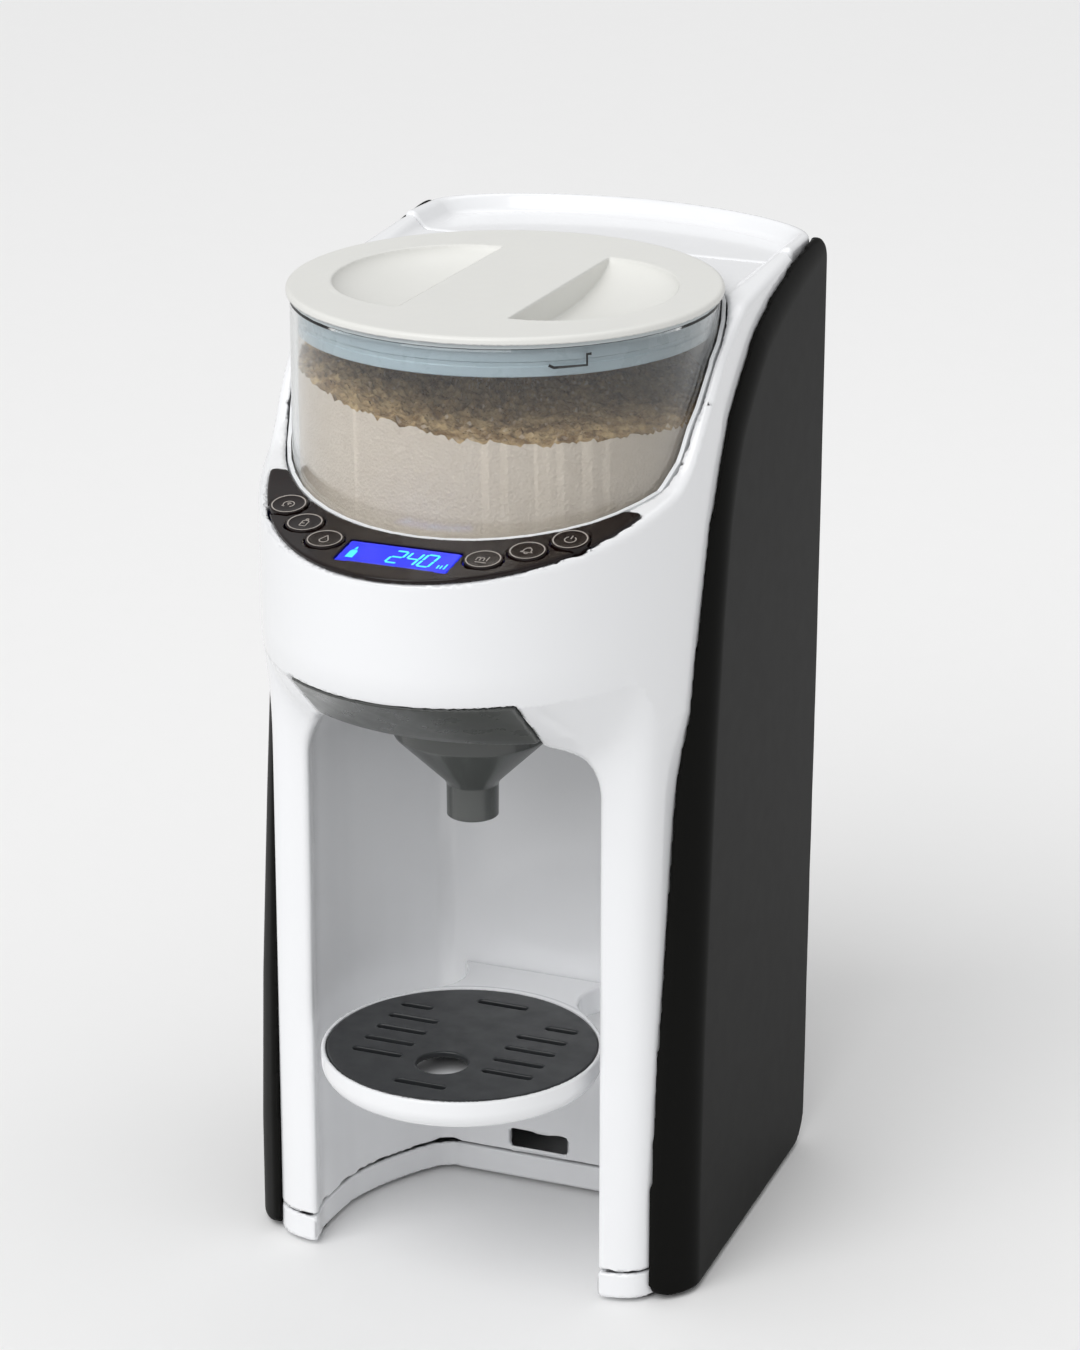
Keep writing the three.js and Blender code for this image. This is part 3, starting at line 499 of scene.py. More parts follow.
black_abs = moulded("spark-eroded black ABS", "#141413", 0.42, 0.7, 0.01, spread=0.03, wander=0.02,
                    **{"Specular IOR Level": 0.03})
panel_right = skin("side_panel_right_moulding", side_panel, (78, -66, 2), (96, 112, PANEL_TOP), 1.2, black_abs)
fitted(panel_right, "body", "black_satin_abs", "side_panel_right")
mirror = panel_right.data.copy()
mirror.transform(((-1, 0, 0, 0), (0, 1, 0, 0), (0, 0, 1, 0), (0, 0, 0, 1)))
mirror.flip_normals()
panel_left = bpy.data.objects.new("side_panel_left_moulding", mirror)
bpy.context.collection.objects.link(panel_left)
fitted(panel_left, "body", "black_satin_abs", "side_panel_left")

# ------------------------------------------------------------------------------
# Rear chassis and mains inlet
# A black ABS frame closes the shell's open back and makes the shelf that the tank stands on. A two-pin inlet
# is screwed into its rear wall.

CHASSIS_BACK, SHELF, SHELF_WALL = 75.3, 41.5, 3
VALVE_Y = 100
INLET_LOW, INLET_HIGH, INLET_HALF = 17, 35, 13
HOSE_X, HOSE_Z = 52, 27
PIN_X, PIN_Z, PIN_R, SOCKET_R = 4.3, 26, 1.6, 5.2


def rear_chassis(x, y, z):
    wall = side(x, y, z)
    spine = block(x, y, z, (-85, SHELL_BACK + FIT, SEAM + FIT), (85, CHASSIS_BACK, 388), 0.6)
    shelf = both(both(both(wall, SHELL_BACK + FIT - y, 0.3), z - SHELF, 1.0), SEAM + FIT - z, 0.5)
    room = both(both(both(wall + SHELF_WALL, CHASSIS_BACK - y), z - SHELF + SHELF_WALL), -z)
    solid = either(spine, without(shelf, room))
    solid = without(solid, both(round_the_axis(x, y, VALVE_Y) - 9, SHELF - 8 - z), 0.5)
    half = INLET_HALF + FIT
    inlet = block(x, y, z, (-half, 112, INLET_LOW - FIT), (half, 150, INLET_HIGH + FIT), 1)
    solid = without(solid, inlet, 0.4)
    return without(solid, both(np.hypot(x - HOSE_X, z - HOSE_Z) - 6, y - 78))


fitted(skin("rear_chassis_moulding", rear_chassis, (-86, 72, 13), (86, 138, 388), 1.7, black_abs),
       "body", "black_satin_abs", "rear_chassis")


def mains_inlet(x, y, z):
    face = block(x, y, z, (-INLET_HALF, 116, INLET_LOW), (INLET_HALF, 138, INLET_HIGH), 1.5)
    across = np.maximum(np.abs(x) - PIN_X, 0)
    waist = np.where(np.abs(x) < PIN_X, 0.5, 0)
    socket = both(np.hypot(across, z - PIN_Z) - SOCKET_R + waist, 124 - y)
    pins = both(np.hypot(np.abs(x) - PIN_X, z - PIN_Z) - PIN_R, y - 134, 0.8)
    return either(without(face, socket, 0.5), both(pins, 120 - y))


fitted(skin("mains_inlet_moulding", mains_inlet, (-13, 116, 17), (13, 138, 35), 0.7, black_abs),
       "body", "black_satin_abs", "mains_inlet")

# ------------------------------------------------------------------------------
# Water tank
# Smoked see-through copolyester, blow-thin walls, standing on the shelf. It forms the rounded rear of the
# machine.


def loft_piece(name, rings, material, sharp=35):
    """A closed piece from a stack of equal rings of (x, y, z), with its two ends capped."""
    count = len(rings[0])
    points = [p for ring in rings for p in ring]
    faces = []
    for level in range(len(rings) - 1):
        for i in range(count):
            a, b = level * count + i, level * count + (i + 1) % count
            faces.append((a, b, b + count, a + count))
    faces.append(tuple(reversed(range(count))))
    faces.append(tuple(range(len(points) - count, len(points))))
    return mesh_piece(name, points, faces, material, sharp=sharp)


def rear_plan(front, inset, steps=26, corner=3.0):
    """The tank's plan, counter-clockwise: a straight front, the flanks and the round rear."""
    wide = REAR_HALF - inset
    flank = float(half_width(np.array(front))) - inset
    right = []
    for i in range(7):
        angle = math.pi / 2 * i / 6
        right.append((flank - corner + corner * math.sin(angle), front + corner - corner * math.cos(angle)))
    for i in range(steps + 1):
        angle = math.pi / 2 * i / steps
        reach = float(polar(math.cos(angle), math.sin(angle), wide, REAR_DEPTH - inset, REAR_POWER))
        right.append((reach * math.cos(angle), REAR_START + reach * math.sin(angle)))
    right[-1] = (0.0, right[-1][1])
    return right + [(-x, y) for x, y in reversed(right[:-1])]


def clear_plastic(name, colour, rough, ior=1.57, murk=0.02, clear=1.0):
    """Clear or smoked plastic: gloss faces that bend what is behind them, with faint flow marks.
    Shadow rays pass through it tinted, so that what stands inside is lit."""
    material, tree, place = new_material(name)
    flow = noise(material, place, 30, 2)
    bump = add_node(material, "ShaderNodeBump", {"Strength": 0.5, "Distance": 0.05 * MM}, Height=(flow, "Fac"))
    limits = {"To Min": rough, "To Max": rough + murk}
    haze = add_node(material, "ShaderNodeMapRange", limits, Value=(flow, "Fac"))
    glass = add_node(material, "ShaderNodeBsdfPrincipled",
                     {"Base Color": linear(colour), "Transmission Weight": clear, "IOR": ior},
                     Roughness=(haze, "Result"), Normal=(bump, "Normal"))
    shade = add_node(material, "ShaderNodeBsdfTransparent", {"Color": linear(colour)})
    path = add_node(material, "ShaderNodeLightPath")
    mix = add_node(material, "ShaderNodeMixShader")
    tree.links.new(path.outputs["Is Shadow Ray"], mix.inputs[0])
    tree.links.new(glass.outputs[0], mix.inputs[1])
    tree.links.new(shade.outputs[0], mix.inputs[2])
    add_node(material, "ShaderNodeOutputMaterial", Surface=(mix, "Shader"))
    return material


TANK_FRONT, TANK_TOP = 76.5, 392
smoked_tank = clear_plastic("smoked copolyester tank", "#5E676B", 0.05)
tank_rings = []
for inset, z in ((3.6, SHELF + 1), (1.0, SHELF + 2.2), (0.6, SHELF + 4), (0.6, TANK_TOP - 0.6), (1.1, TANK_TOP),
                 (2.5, TANK_TOP), (3.0, TANK_TOP - 0.6), (3.0, SHELF + 5), (4.2, SHELF + 3.8)):
    front = TANK_FRONT + max(0, inset - 0.6)
    tank_rings.append([(x, y, z) for x, y in rear_plan(front, inset)])
fitted(loft_piece("water_tank_shell", tank_rings, smoked_tank), "tank", "smoked_tank", "water_tank")

# ------------------------------------------------------------------------------
# Tank lid
# A white moulded lid makes the machine's rear top: a rim that slopes in to a shallow dished floor.


def tank_lid(x, y, z):
    wall = side(x, y, TOP_PLAN)
    solid = both(both(wall + 1, TANK_FRONT - y, 1.5), z - 401.4, 2.2)
    return both(without(solid, top_dish(x, y, z), 1.5), TANK_TOP + FIT - z, 0.4)


fitted(skin("tank_lid_moulding", tank_lid, (-86, 76, 392), (86, 138, 402), 1.1, white_abs),
       "tank_lid", "white_gloss_abs", "tank_lid")

# ------------------------------------------------------------------------------
# Control panel
# A glossy black crescent, moulded with a deep brown cast, lies flush in the deck. It has a window for the
# display and six holes for the buttons.

WINDOW = (-23.2, -127, 23.2, -109.5)


def control_panel(x, y, z):
    plate = both(both(crescent(x, y), z - deck(y) - 0.1, 0.7), deck(y) - PANEL_THICK - z, 0.2)
    left, front, right, back = WINDOW
    plate = without(plate, block(x, y, z, (left, front, 300), (right, back, 340), 0.8), 0.3)
    for at_x, at_y in BUTTONS.values():
        plate = without(plate, np.hypot(x - at_x, y - at_y) - BUTTON_R - 0.35, 0.35)
    return plate


panel_gloss = moulded("glossy brown-black panel", "#120504", 0.08, 8, 0.004, spread=0.15,
                      **{"Specular IOR Level": 0.3})
fitted(skin("control_panel_plate", control_panel, (-86, -138, 312), (86, -65, 335), 0.75, panel_gloss),
       "body", "panel_gloss_brown", "control_panel")

# ------------------------------------------------------------------------------
# Display
# A backlit blue liquid-crystal cell lies just under the panel's face. Lit segments show a number in the right
# half, and a small bottle sign stands at the left.


def glowing(name, colour, light, strength, spot_mm):
    """A backlit cell: its own light, uneven as an edge-lit foil is, under a clear gloss face."""
    material, tree, place = new_material(name)
    foil = noise(material, place, spot_mm, 1)
    level = add_node(material, "ShaderNodeMapRange", {"To Min": strength * 0.75, "To Max": strength * 1.25},
                     Value=(foil, "Fac"))
    face = {"Base Color": linear(colour), "Emission Color": linear(light), "Roughness": 0.12, "IOR": 1.5}
    shader = add_node(material, "ShaderNodeBsdfPrincipled", face)
    tree.links.new(level.outputs["Result"], shader.inputs["Emission Strength"])
    add_node(material, "ShaderNodeOutputMaterial", Surface=(shader, "BSDF"))
    return material


def on_deck(x, y, lift):
    """A point at a height above the deck, measured square to its slope."""
    slope = (float(deck(y + 1)) - float(deck(y - 1))) / 2
    size = math.hypot(1, slope)
    return x, y - lift * slope / size, float(deck(y)) + lift / size


display_blue = glowing("backlit blue cell", "#0A1A90", "#0822F0", 0.8, 14)
display_cyan = glowing("lit cell segments", "#3FB8FF", "#2FB8FF", 1.0, 6)


def display_cell(x, y, z):
    left, front, right, back = WINDOW
    cell = block(x, y, z, (left + FIT, front + FIT, 312), (right - FIT, back - FIT, 340), 0.6)
    return both(cell, z - deck(y) + 0.4, 0.15)


fitted(skin("display_cell", display_cell, (-23, -127, 312), (23, -109, 323), 0.8, display_blue),
       "body", "display_blue", "display_module")


def prisms(name, outlines, low, high, material):
    """Flat closed shapes on the deck, each an outline raised from one lift to another."""
    points, faces = [], []
    for outline in outlines:
        first, count = len(points), len(outline)
        points += [on_deck(x, y, low) for x, y in outline] + [on_deck(x, y, high) for x, y in outline]
        faces.append(tuple(first + i for i in reversed(range(count))))
        faces.append(tuple(first + count + i for i in range(count)))
        for i in range(count):
            j = (i + 1) % count
            faces.append((first + i, first + j, first + count + j, first + count + i))
    return mesh_piece(name, points, faces, material, sharp=30)


SEGMENTS = {"2": "abged", "4": "fgbc", "0": "abcdef"}
DIGIT_WIDE, DIGIT_TALL, DIGIT_STEP, STROKE = 4.6, 9.6, 6.4, 0.95
LIT_LOW, LIT_HIGH, TEXT_Y = -0.42, -0.3, -123.6


def digit(character, left, low, wide=DIGIT_WIDE, tall=DIGIT_TALL, thick=STROKE):
    """The lit bars of a seven-segment digit, leaning a little as such digits do."""
    half, gap = thick / 2, 0.18
    corner = {"bl": (0, 0), "br": (wide, 0), "ml": (0, tall / 2), "mr": (wide, tall / 2), "tl": (0, tall),
              "tr": (wide, tall)}
    ends = {"a": ("tl", "tr"), "b": ("mr", "tr"), "c": ("br", "mr"), "d": ("bl", "br"), "e": ("bl", "ml"),
            "f": ("ml", "tl"), "g": ("ml", "mr")}
    bars = []
    for bar in SEGMENTS[character]:
        (x0, y0), (x1, y1) = (corner[name] for name in ends[bar])
        if y0 == y1:
            raw = [(x0 + gap, y0), (x0 + half, y0 - half), (x1 - half, y0 - half), (x1 - gap, y0),
                   (x1 - half, y0 + half), (x0 + half, y0 + half)]
        else:
            raw = [(x0, y0 + gap), (x0 + half, y0 + half), (x0 + half, y1 - half), (x0, y1 - gap),
                   (x0 - half, y1 - half), (x0 - half, y0 + half)]
        bars.append([(left + x + 0.12 * y, low + y) for x, y in raw])
    return bars


number = [bar for i, character in enumerate("240") for bar in digit(character, -3.2 + i * DIGIT_STEP, TEXT_Y)]
fitted(prisms("display_number", number, LIT_LOW, LIT_HIGH, display_cyan), "body", "display_blue")
signs = [[(-19.6, TEXT_Y), (-16.6, TEXT_Y), (-16.6, -118.6), (-17.2, -117.4), (-19.0, -117.4), (-19.6, -118.6)],
         [(-18.7, -116.9), (-17.5, -116.9), (-17.8, -115.0), (-18.4, -115.0)]]
for left, right, high in ((17.6, 18.2, -121.0), (18.9, 19.5, -121.0), (20.4, 21.0, -119.6)):
    signs.append([(left, TEXT_Y), (right, TEXT_Y), (right, high), (left, high)])
fitted(prisms("display_signs", signs, LIT_LOW, LIT_HIGH, display_cyan), "body", "display_blue")

# ------------------------------------------------------------------------------
# Buttons
# Six dished caps of the panel's own gloss plastic, each with a printed silver ring and sign. Each cap presses
# in.


def turned_piece(name, profile, place, material, steps=64, sharp=35):
    """Turns a closed outline of (radius, height) round an axis; place maps each point to its spot."""
    points, faces, rings = [], [], []
    for radius, height in profile:
        if radius < 1e-6:
            rings.append([len(points)])
            points.append(place(0.0, 0.0, height))
        else:
            rings.append(list(range(len(points), len(points) + steps)))
            for i in range(steps):
                angle = 2 * math.pi * i / steps
                points.append(place(radius * math.cos(angle), radius * math.sin(angle), height))
    closed = len(rings[0]) > 1
    for k in range(len(rings) if closed else len(rings) - 1):
        low, high = rings[k], rings[(k + 1) % len(rings)]
        for i in range(steps):
            j = (i + 1) % steps
            ring = [low[i % len(low)], low[j % len(low)], high[j % len(high)], high[i % len(high)]]
            face = tuple(dict.fromkeys(ring))
            if len(face) > 2:
                faces.append(face)
    return mesh_piece(name, points, faces, material, sharp=sharp)


def at(centre_x, centre_y):
    return lambda x, y, z: (centre_x + x, centre_y + y, z)


def square_to_deck(at_x, at_y):
    """Maps a point of a button, with its axis up, on to the sloping deck."""
    slope = (float(deck(at_y + 5)) - float(deck(at_y - 5))) / 10
    size = math.hypot(1, slope)
    base = float(deck(at_y))
    return lambda x, y, z: (at_x + x, at_y + (y - z * slope) / size, base + (y * slope + z) / size)


def stroke_piece(name, strokes, width, place, lift, material):
    """Printed lines, and the lock slot's painted shade: each stroke a thin flat band with mitred joints,
    standing 0.08 mm proud.
    """
    points, faces = [], []
    for line in strokes:
        line = np.array(line, float)
        ahead = np.vstack([line[1:] - line[:-1], line[-1:] - line[-2:-1]])
        behind = np.vstack([ahead[:1], ahead[:-1]])
        along = (ahead / np.linalg.norm(ahead, axis=1)[:, None]
                 + behind / np.linalg.norm(behind, axis=1)[:, None])
        along /= np.linalg.norm(along, axis=1)[:, None] + 1e-9
        beside = np.stack([-along[:, 1], along[:, 0]], axis=1) * width / 2
        first = len(points)
        for (x, y), (dx, dy) in zip(line, beside):
            for side_x, side_y, height in ((x - dx, y - dy, lift - 0.1), (x + dx, y + dy, lift - 0.1),
                                           (x + dx, y + dy, lift + 0.08), (x - dx, y - dy, lift + 0.08)):
                points.append(place(side_x, side_y, height))
        for k in range(len(line) - 1):
            a, b = first + 4 * k, first + 4 * k + 4
            for i in range(4):
                j = (i + 1) % 4
                faces.append((a + i, b + i, b + j, a + j))
        last = first + 4 * (len(line) - 1)
        faces += [(first, first + 1, first + 2, first + 3), (last + 3, last + 2, last + 1, last)]
    return mesh_piece(name, points, faces, material, sharp=30)


def arc(radius, start, stop, centre=(0, 0), steps=14):
    turns = [math.radians(start + (stop - start) * i / steps) for i in range(steps + 1)]
    return [(centre[0] + radius * math.cos(t), centre[1] + radius * math.sin(t)) for t in turns]


SIGNS = {
    "button_prime": [arc(2.2, -60, 240), [(-1.1, -1.9), (-2.3, -1.6)], [(0, -0.9), (0, 1.1)],
                     [(-0.8, 0.3), (0, 1.1)], [(0.8, 0.3), (0, 1.1)]],
    "button_menu": [[(-1.2, -2.8), (-1.3, 0.9), (-0.7, 1.6), (0.7, 1.6), (1.3, 0.9), (1.2, -2.8), (-1.2, -2.8)],
                    [(-0.6, 2.1), (-0.3, 3.0), (0.3, 3.0), (0.6, 2.1), (-0.6, 2.1)],
                    [(-1.2, -0.6), (0.1, -0.6)]],
    "button_volume": [[(0, 3.0), *arc(1.7, 30, -210, (0, -0.9)), (0, 3.0)]],
    "button_unit": [[(-2.6, -1.2), (-2.6, 1.1)], arc(0.75, 180, 0, (-1.85, 0.35)), [(-1.1, -1.2), (-1.1, 0.35)],
                    arc(0.75, 180, 0, (-0.35, 0.35)), [(0.4, -1.2), (0.4, 0.35)], [(1.7, -1.2), (1.7, 2.2)],
                    [(-2.4, -2.6), (2.2, -2.6)]],
    "button_alarm": [[(-2.4, -1.2), (-1.6, -0.5), (-1.5, 0.9), (-0.7, 2.2), (0.7, 2.2), (1.5, 0.9), (1.6, -0.5),
                      (2.4, -1.2), (-2.4, -1.2)], arc(0.7, 180, 360, (0, -1.6), 6), [(0, 2.2), (0, 2.9)]],
    "button_power": [arc(2.2, 125, 415), [(0, 0.5), (0, 2.9)]],
}
SIGN_LIFT = 0.42
CAP = [(0, -4.6), (BUTTON_R - 0.2, -4.6), (BUTTON_R, -4.4), (BUTTON_R, 0.35), (BUTTON_R - 0.15, 0.6),
       (BUTTON_R - 0.5, 0.7), (BUTTON_R - 1.1, 0.66), (5.4, 0.5), (3.5, 0.42), (0, 0.4)]
silver_print = moulded("silver-grey print", "#A8A19B", 0.4, 0.3, 0.002, spread=0.1)

for name, (at_x, at_y) in BUTTONS.items():
    place = square_to_deck(at_x, at_y)
    fitted(turned_piece(name + "_cap", CAP, place, panel_gloss), name, "panel_gloss_brown", name)
    ring = [(6.25, 0.5), (6.75, 0.5), (6.75, 0.73), (6.25, 0.71)]
    fitted(turned_piece(name + "_ring", ring, place, silver_print), name, "screw_steel")
    fitted(stroke_piece(name + "_sign", SIGNS[name], 0.42, place, SIGN_LIFT, silver_print), name, "screw_steel")

# ------------------------------------------------------------------------------
# Powder hopper
# A clear drum of copolyester with an open top. It lifts out of the white cup, with its grey floor, the white
# dosing wheel and the stirrer. A short slot near the top right of its wall is where the lid locks; it is drawn
# as a thin black line of painted shade.

HOPPER_OUT, HOPPER_IN, HOPPER_LOW, HOPPER_TOP = 83.5, 81.0, 287, 396.6
clear_wall = clear_plastic("clear copolyester", "#F2F4F4", 0.03, ior=1.5, murk=0.01)
wall = [(HOPPER_OUT - 0.6, HOPPER_LOW), (HOPPER_OUT, HOPPER_LOW + 0.6), (HOPPER_OUT, HOPPER_TOP - 0.8),
        (HOPPER_OUT - 0.5, HOPPER_TOP), (HOPPER_IN + 0.5, HOPPER_TOP), (HOPPER_IN, HOPPER_TOP - 0.8),
        (HOPPER_IN, HOPPER_LOW + 0.3), (HOPPER_IN + 0.3, HOPPER_LOW)]
axis = at(0, AXIS_Y)
fitted(turned_piece("hopper_drum", wall, axis, clear_wall, 192, sharp=15),
       "hopper", "clear_copolyester", "hopper_wall")


def wrapped(radius):
    """Lays a flat drawing of (arc length, height) round the drum, with 0 at its right-hand side."""
    def place(along, height, lift):
        turn = math.radians(-50) + along / radius
        return (radius + lift) * math.cos(turn), AXIS_Y + (radius + lift) * math.sin(turn), height
    return place


# The lock slot is a groove in the clear wall; this black line is painted shade standing in for it.
painted_slot_shade = moulded("painted slot shade", "#161616", 0.5, 0.3, 0.002, spread=0.1)
lock_mark = [[(-8.5, 390.4), (-6.5, 389.4), (6.4, 389.4), (6.4, 393.6), (8.2, 393.6)]]
fitted(stroke_piece("hopper_lock_slot", lock_mark, 1.1, wrapped(HOPPER_OUT), 0.02, painted_slot_shade),
       "hopper", "black_satin_abs")

seat_white = moulded("moulded white cup", "#E6E8EA", 0.3, 3, 0.01)
grey_nylon = moulded("glass-filled grey nylon", "#8B8F91", 0.5, 0.6, 0.03, spread=0.12)
acetal = moulded("natural acetal", "#E4E4DE", 0.35, 2, 0.01, spread=0.03)
seal_rubber = moulded("translucent silicone", "#B9C0C2", 0.45, 3, 0.01, spread=0.05)
brass = moulded("sintered brass", "#B08D4A", 0.35, 0.6, 0.01, spread=0.1, Metallic=1.0)
board_green = moulded("solder-masked board", "#1E5B34", 0.35, 4, 0.02, spread=0.2)
INNER = {
    "hopper_seat": seat_white, "hopper_floor": grey_nylon, "dosing_scraper": grey_nylon, "dosing_wheel": acetal,
    "stirrer": acetal, "lid_seal": seal_rubber, "drive_gear": acetal, "motor_pinion": brass,
    "powder_chute": grey_nylon, "water_nozzle": acetal, "tank_valve": grey_nylon, "tank_socket": grey_nylon,
}
for node, material in INNER.items():
    repaint(node, material)

# ------------------------------------------------------------------------------
# Inner works
# A steel-cased motor, the pump and heater, silicone hoses, a power supply and a board sit out of sight behind
# the bay.

motor_steel = moulded("deep-drawn motor steel", "#8D9092", 0.3, 0.6, 0.01, spread=0.1, Metallic=1.0)
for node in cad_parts:
    if node in ("drive_motor", "heater_tank"):
        repaint(node, motor_steel)
    elif node in ("control_board", "power_supply"):
        repaint(node, board_green)
    elif "hose" in node:
        repaint(node, seal_rubber)
    elif node == "water_pump":
        repaint(node, grey_nylon)

# ------------------------------------------------------------------------------
# Formula powder
# A fill of milk powder, heaped up at the left and the rear. Pressed against the drum it is smooth and cream;
# its top is coarse grains, coloured brownish as painted shade.

POWDER_R, POWDER_LOW, POWDER_RINGS, POWDER_STEPS = 80.7, 318.8, 90, 360
random = np.random.default_rng(7)


def heap(x, y):
    """Height of the powder's top."""
    return 367 - 0.115 * x + 0.045 * (y - AXIS_Y) + 1.6 * np.sin(x / 17 + 1) * np.cos(y / 21)


radii = POWDER_R * np.linspace(0, 1, POWDER_RINGS + 1)[1:] ** 0.8
turns = np.linspace(0, 2 * math.pi, POWDER_STEPS, endpoint=False)
ring_x, ring_y = radii[:, None] * np.cos(turns), AXIS_Y + radii[:, None] * np.sin(turns)
ring_z = heap(ring_x, ring_y)
for size, height in ((1.0, 0.9), (0.35, 0.7)):
    for _ in range(160):
        turn, reach = random.uniform(0, 2 * math.pi), random.uniform(2, 8) * size
        phase = random.uniform(0, 2 * math.pi)
        wave = (ring_x * math.cos(turn) + ring_y * math.sin(turn)) / reach
        ring_z += height * 0.06 * np.sin(wave * 2 * math.pi / 1.6 + phase)
ring_z += random.normal(0, 0.28, ring_z.shape)
top = np.stack([ring_x, ring_y, ring_z], axis=2).reshape(-1, 3)
rim = top[-POWDER_STEPS:]
low = rim * (1, 1, 0) + (0, 0, POWDER_LOW)
points = np.vstack([[(0, AXIS_Y, float(heap(0, AXIS_Y)))], top, low])
faces = [(0, 1 + i, 1 + (i + 1) % POWDER_STEPS) for i in range(POWDER_STEPS)]
for ring in range(POWDER_RINGS):
    for i in range(POWDER_STEPS):
        j = (i + 1) % POWDER_STEPS
        a = 1 + ring * POWDER_STEPS
        faces.append((a + i, a + i + POWDER_STEPS, a + j + POWDER_STEPS, a + j))
base = 1 + POWDER_RINGS * POWDER_STEPS
faces.append(tuple(base + i for i in reversed(range(POWDER_STEPS))))


def powder_material():
    """Milk powder: cream and matt where it lies against the wall; on top, speckled grains coloured darker brown
    as painted shade.
    """
    material, tree, place = new_material("milk powder")
    grain = add_node(material, "ShaderNodeTexVoronoi", {"Scale": 1 / (1.3 * MM)}, Vector=(place, "Object"))
    clump = noise(material, place, 7, 6, Roughness=0.7)
    # The brown speckled ramp is painted shade: the cream powder's top drawn darker, with the grains' speckle in
    # it.
    loose = add_node(material, "ShaderNodeValToRGB", None, Fac=(clump, "Fac"))
    for stop, position, colour in zip(loose.color_ramp.elements, (0.38, 0.62), ("#6E5230", "#B49A72")):
        stop.position, stop.color = position, linear(colour)
    pressed = add_node(material, "ShaderNodeMix", {"data_type": "RGBA"})
    pressed.inputs["A"].default_value, pressed.inputs["B"].default_value = linear("#C2B4A6"), linear("#D3C7BB")
    tree.links.new(clump.outputs["Fac"], pressed.inputs["Factor"])
    # Faces that look upward take the painted shade of the top, and the sides keep the cream.
    facing = add_node(material, "ShaderNodeNewGeometry")
    upward = add_node(material, "ShaderNodeSeparateXYZ", None, Vector=(facing, "True Normal"))
    is_top = add_node(material, "ShaderNodeMapRange", {"From Min": 0.15, "From Max": 0.45}, Value=(upward, "Z"))
    colour = add_node(material, "ShaderNodeMix", {"data_type": "RGBA"})
    tree.links.new(is_top.outputs["Result"], colour.inputs["Factor"])
    tree.links.new(pressed.outputs["Result"], colour.inputs["A"])
    tree.links.new(loose.outputs["Color"], colour.inputs["B"])
    relief = {"Strength": 0.6, "Distance": 0.35 * MM}
    bump = add_node(material, "ShaderNodeBump", relief, Height=(grain, "Distance"))
    shader = add_node(material, "ShaderNodeBsdfPrincipled", {"Roughness": 0.95, "Specular IOR Level": 0.2},
                      Normal=(bump, "Normal"))
    tree.links.new(colour.outputs["Result"], shader.inputs["Base Color"])
    add_node(material, "ShaderNodeOutputMaterial", Surface=(shader, "BSDF"))
    return material


powder = mesh_piece("milk_powder", points.tolist(), faces, powder_material(), sharp=50)
fitted(powder, "hopper", None)

# ------------------------------------------------------------------------------
# Hopper lid
# A satin off-white disc with a rounded rim. Two scooped finger recesses leave a straight bar between them. A
# blue-grey skirt and a silicone ring plug it into the drum.

LID_R, LID_LOW, LID_HIGH = 85.0, 398.6, 401.6
BAR_HALF = 23
SCOOP = (45, 51, 12.4)


def scoop(x, y, z, grow):
    """One finger recess and its mirror image: half a bowl that is deepest beside the bar."""
    out = np.abs(x) - BAR_HALF
    a, b, c = (length + grow for length in SCOOP)
    u, v, w = np.maximum(out, 0), y - AXIS_Y, z - LID_HIGH - 0.6
    scaled = np.sqrt((u / a) ** 2 + (v / b) ** 2 + (w / c) ** 2)
    slope = np.sqrt((u / a ** 2) ** 2 + (v / b ** 2) ** 2 + (w / c ** 2) ** 2) + 1e-4
    return both((scaled - 1) * scaled / slope, -grow - out, 0.8)


def hopper_lid(x, y, z):
    disc = both(both(round_the_axis(x, y) - LID_R, z - LID_HIGH, 1.6), LID_LOW - z, 0.4)
    bowls = both(scoop(x, y, z, 2.2), z - LID_HIGH + 0.5)
    return without(either(disc, bowls, 0.8), scoop(x, y, z, 0), 0.7)


lid_satin = moulded("satin off-white polypropylene", "#DEDEDA", 0.38, 0.8, 0.012, spread=0.02, ior=1.49)
fitted(skin("hopper_lid_moulding", hopper_lid, (-85, -101, 386.5), (85, 69, 401.6), 0.95, lid_satin),
       "lid", "lid_satin_pp", "hopper_lid")

skirt_blue = moulded("blue-grey lid skirt", "#A9B8C0", 0.28, 5, 0.01, spread=0.08)
skirt = [(80.4, 385.8), (80.4, 389.2), (79.9, 389.7), (79.9, 391.0), (80.4, 391.5), (80.4, 397.8),
         (79.9, 398.3), (78.4, 398.3), (78, 397.9), (78, 385.9), (78.5, 385.4), (80, 385.4)]
fitted(turned_piece("lid_skirt_ring", skirt, axis, skirt_blue, 160, sharp=25),
       "lid", "skirt_silver", "lid_skirt")

# ------------------------------------------------------------------------------
# Funnel and its cover
# One smoked grey drawer slides out to be washed. A curved skin closes the head's undercut, and a plate behind
# it carries a cone and a short spout.

FUNNEL_Y, COLLAR_R = -50, 26.95
smoked = clear_plastic("smoked grey funnel plastic", "#5E615F", 0.22, murk=0.05, clear=0.4)
smoked_dull = moulded("smoked grey satin plastic", "#4B4D4B", 0.3, 4, 0.01, spread=0.05)
cone = [(8.4, 193.4), (8.9, 193), (9.9, 193), (10.3, 193.4), (10.4, 206.5), (11.4, 208.4), (30.9, 227.4),
        (31.5, 228.6), (31.5, 243.1), (26.9, 243.1), (26.7, 243.4), (26.7, 247.6), (26.3, 248), (25.2, 248),
        (24.9, 247.6), (24.9, 240), (28.6, 238.5), (28.6, 229.6), (9.2, 209.6), (8.4, 207.4)]
fitted(turned_piece("funnel_cone", cone, at(0, FUNNEL_Y), smoked, 96, sharp=20),
       "funnel", "smoked_funnel", "funnel")


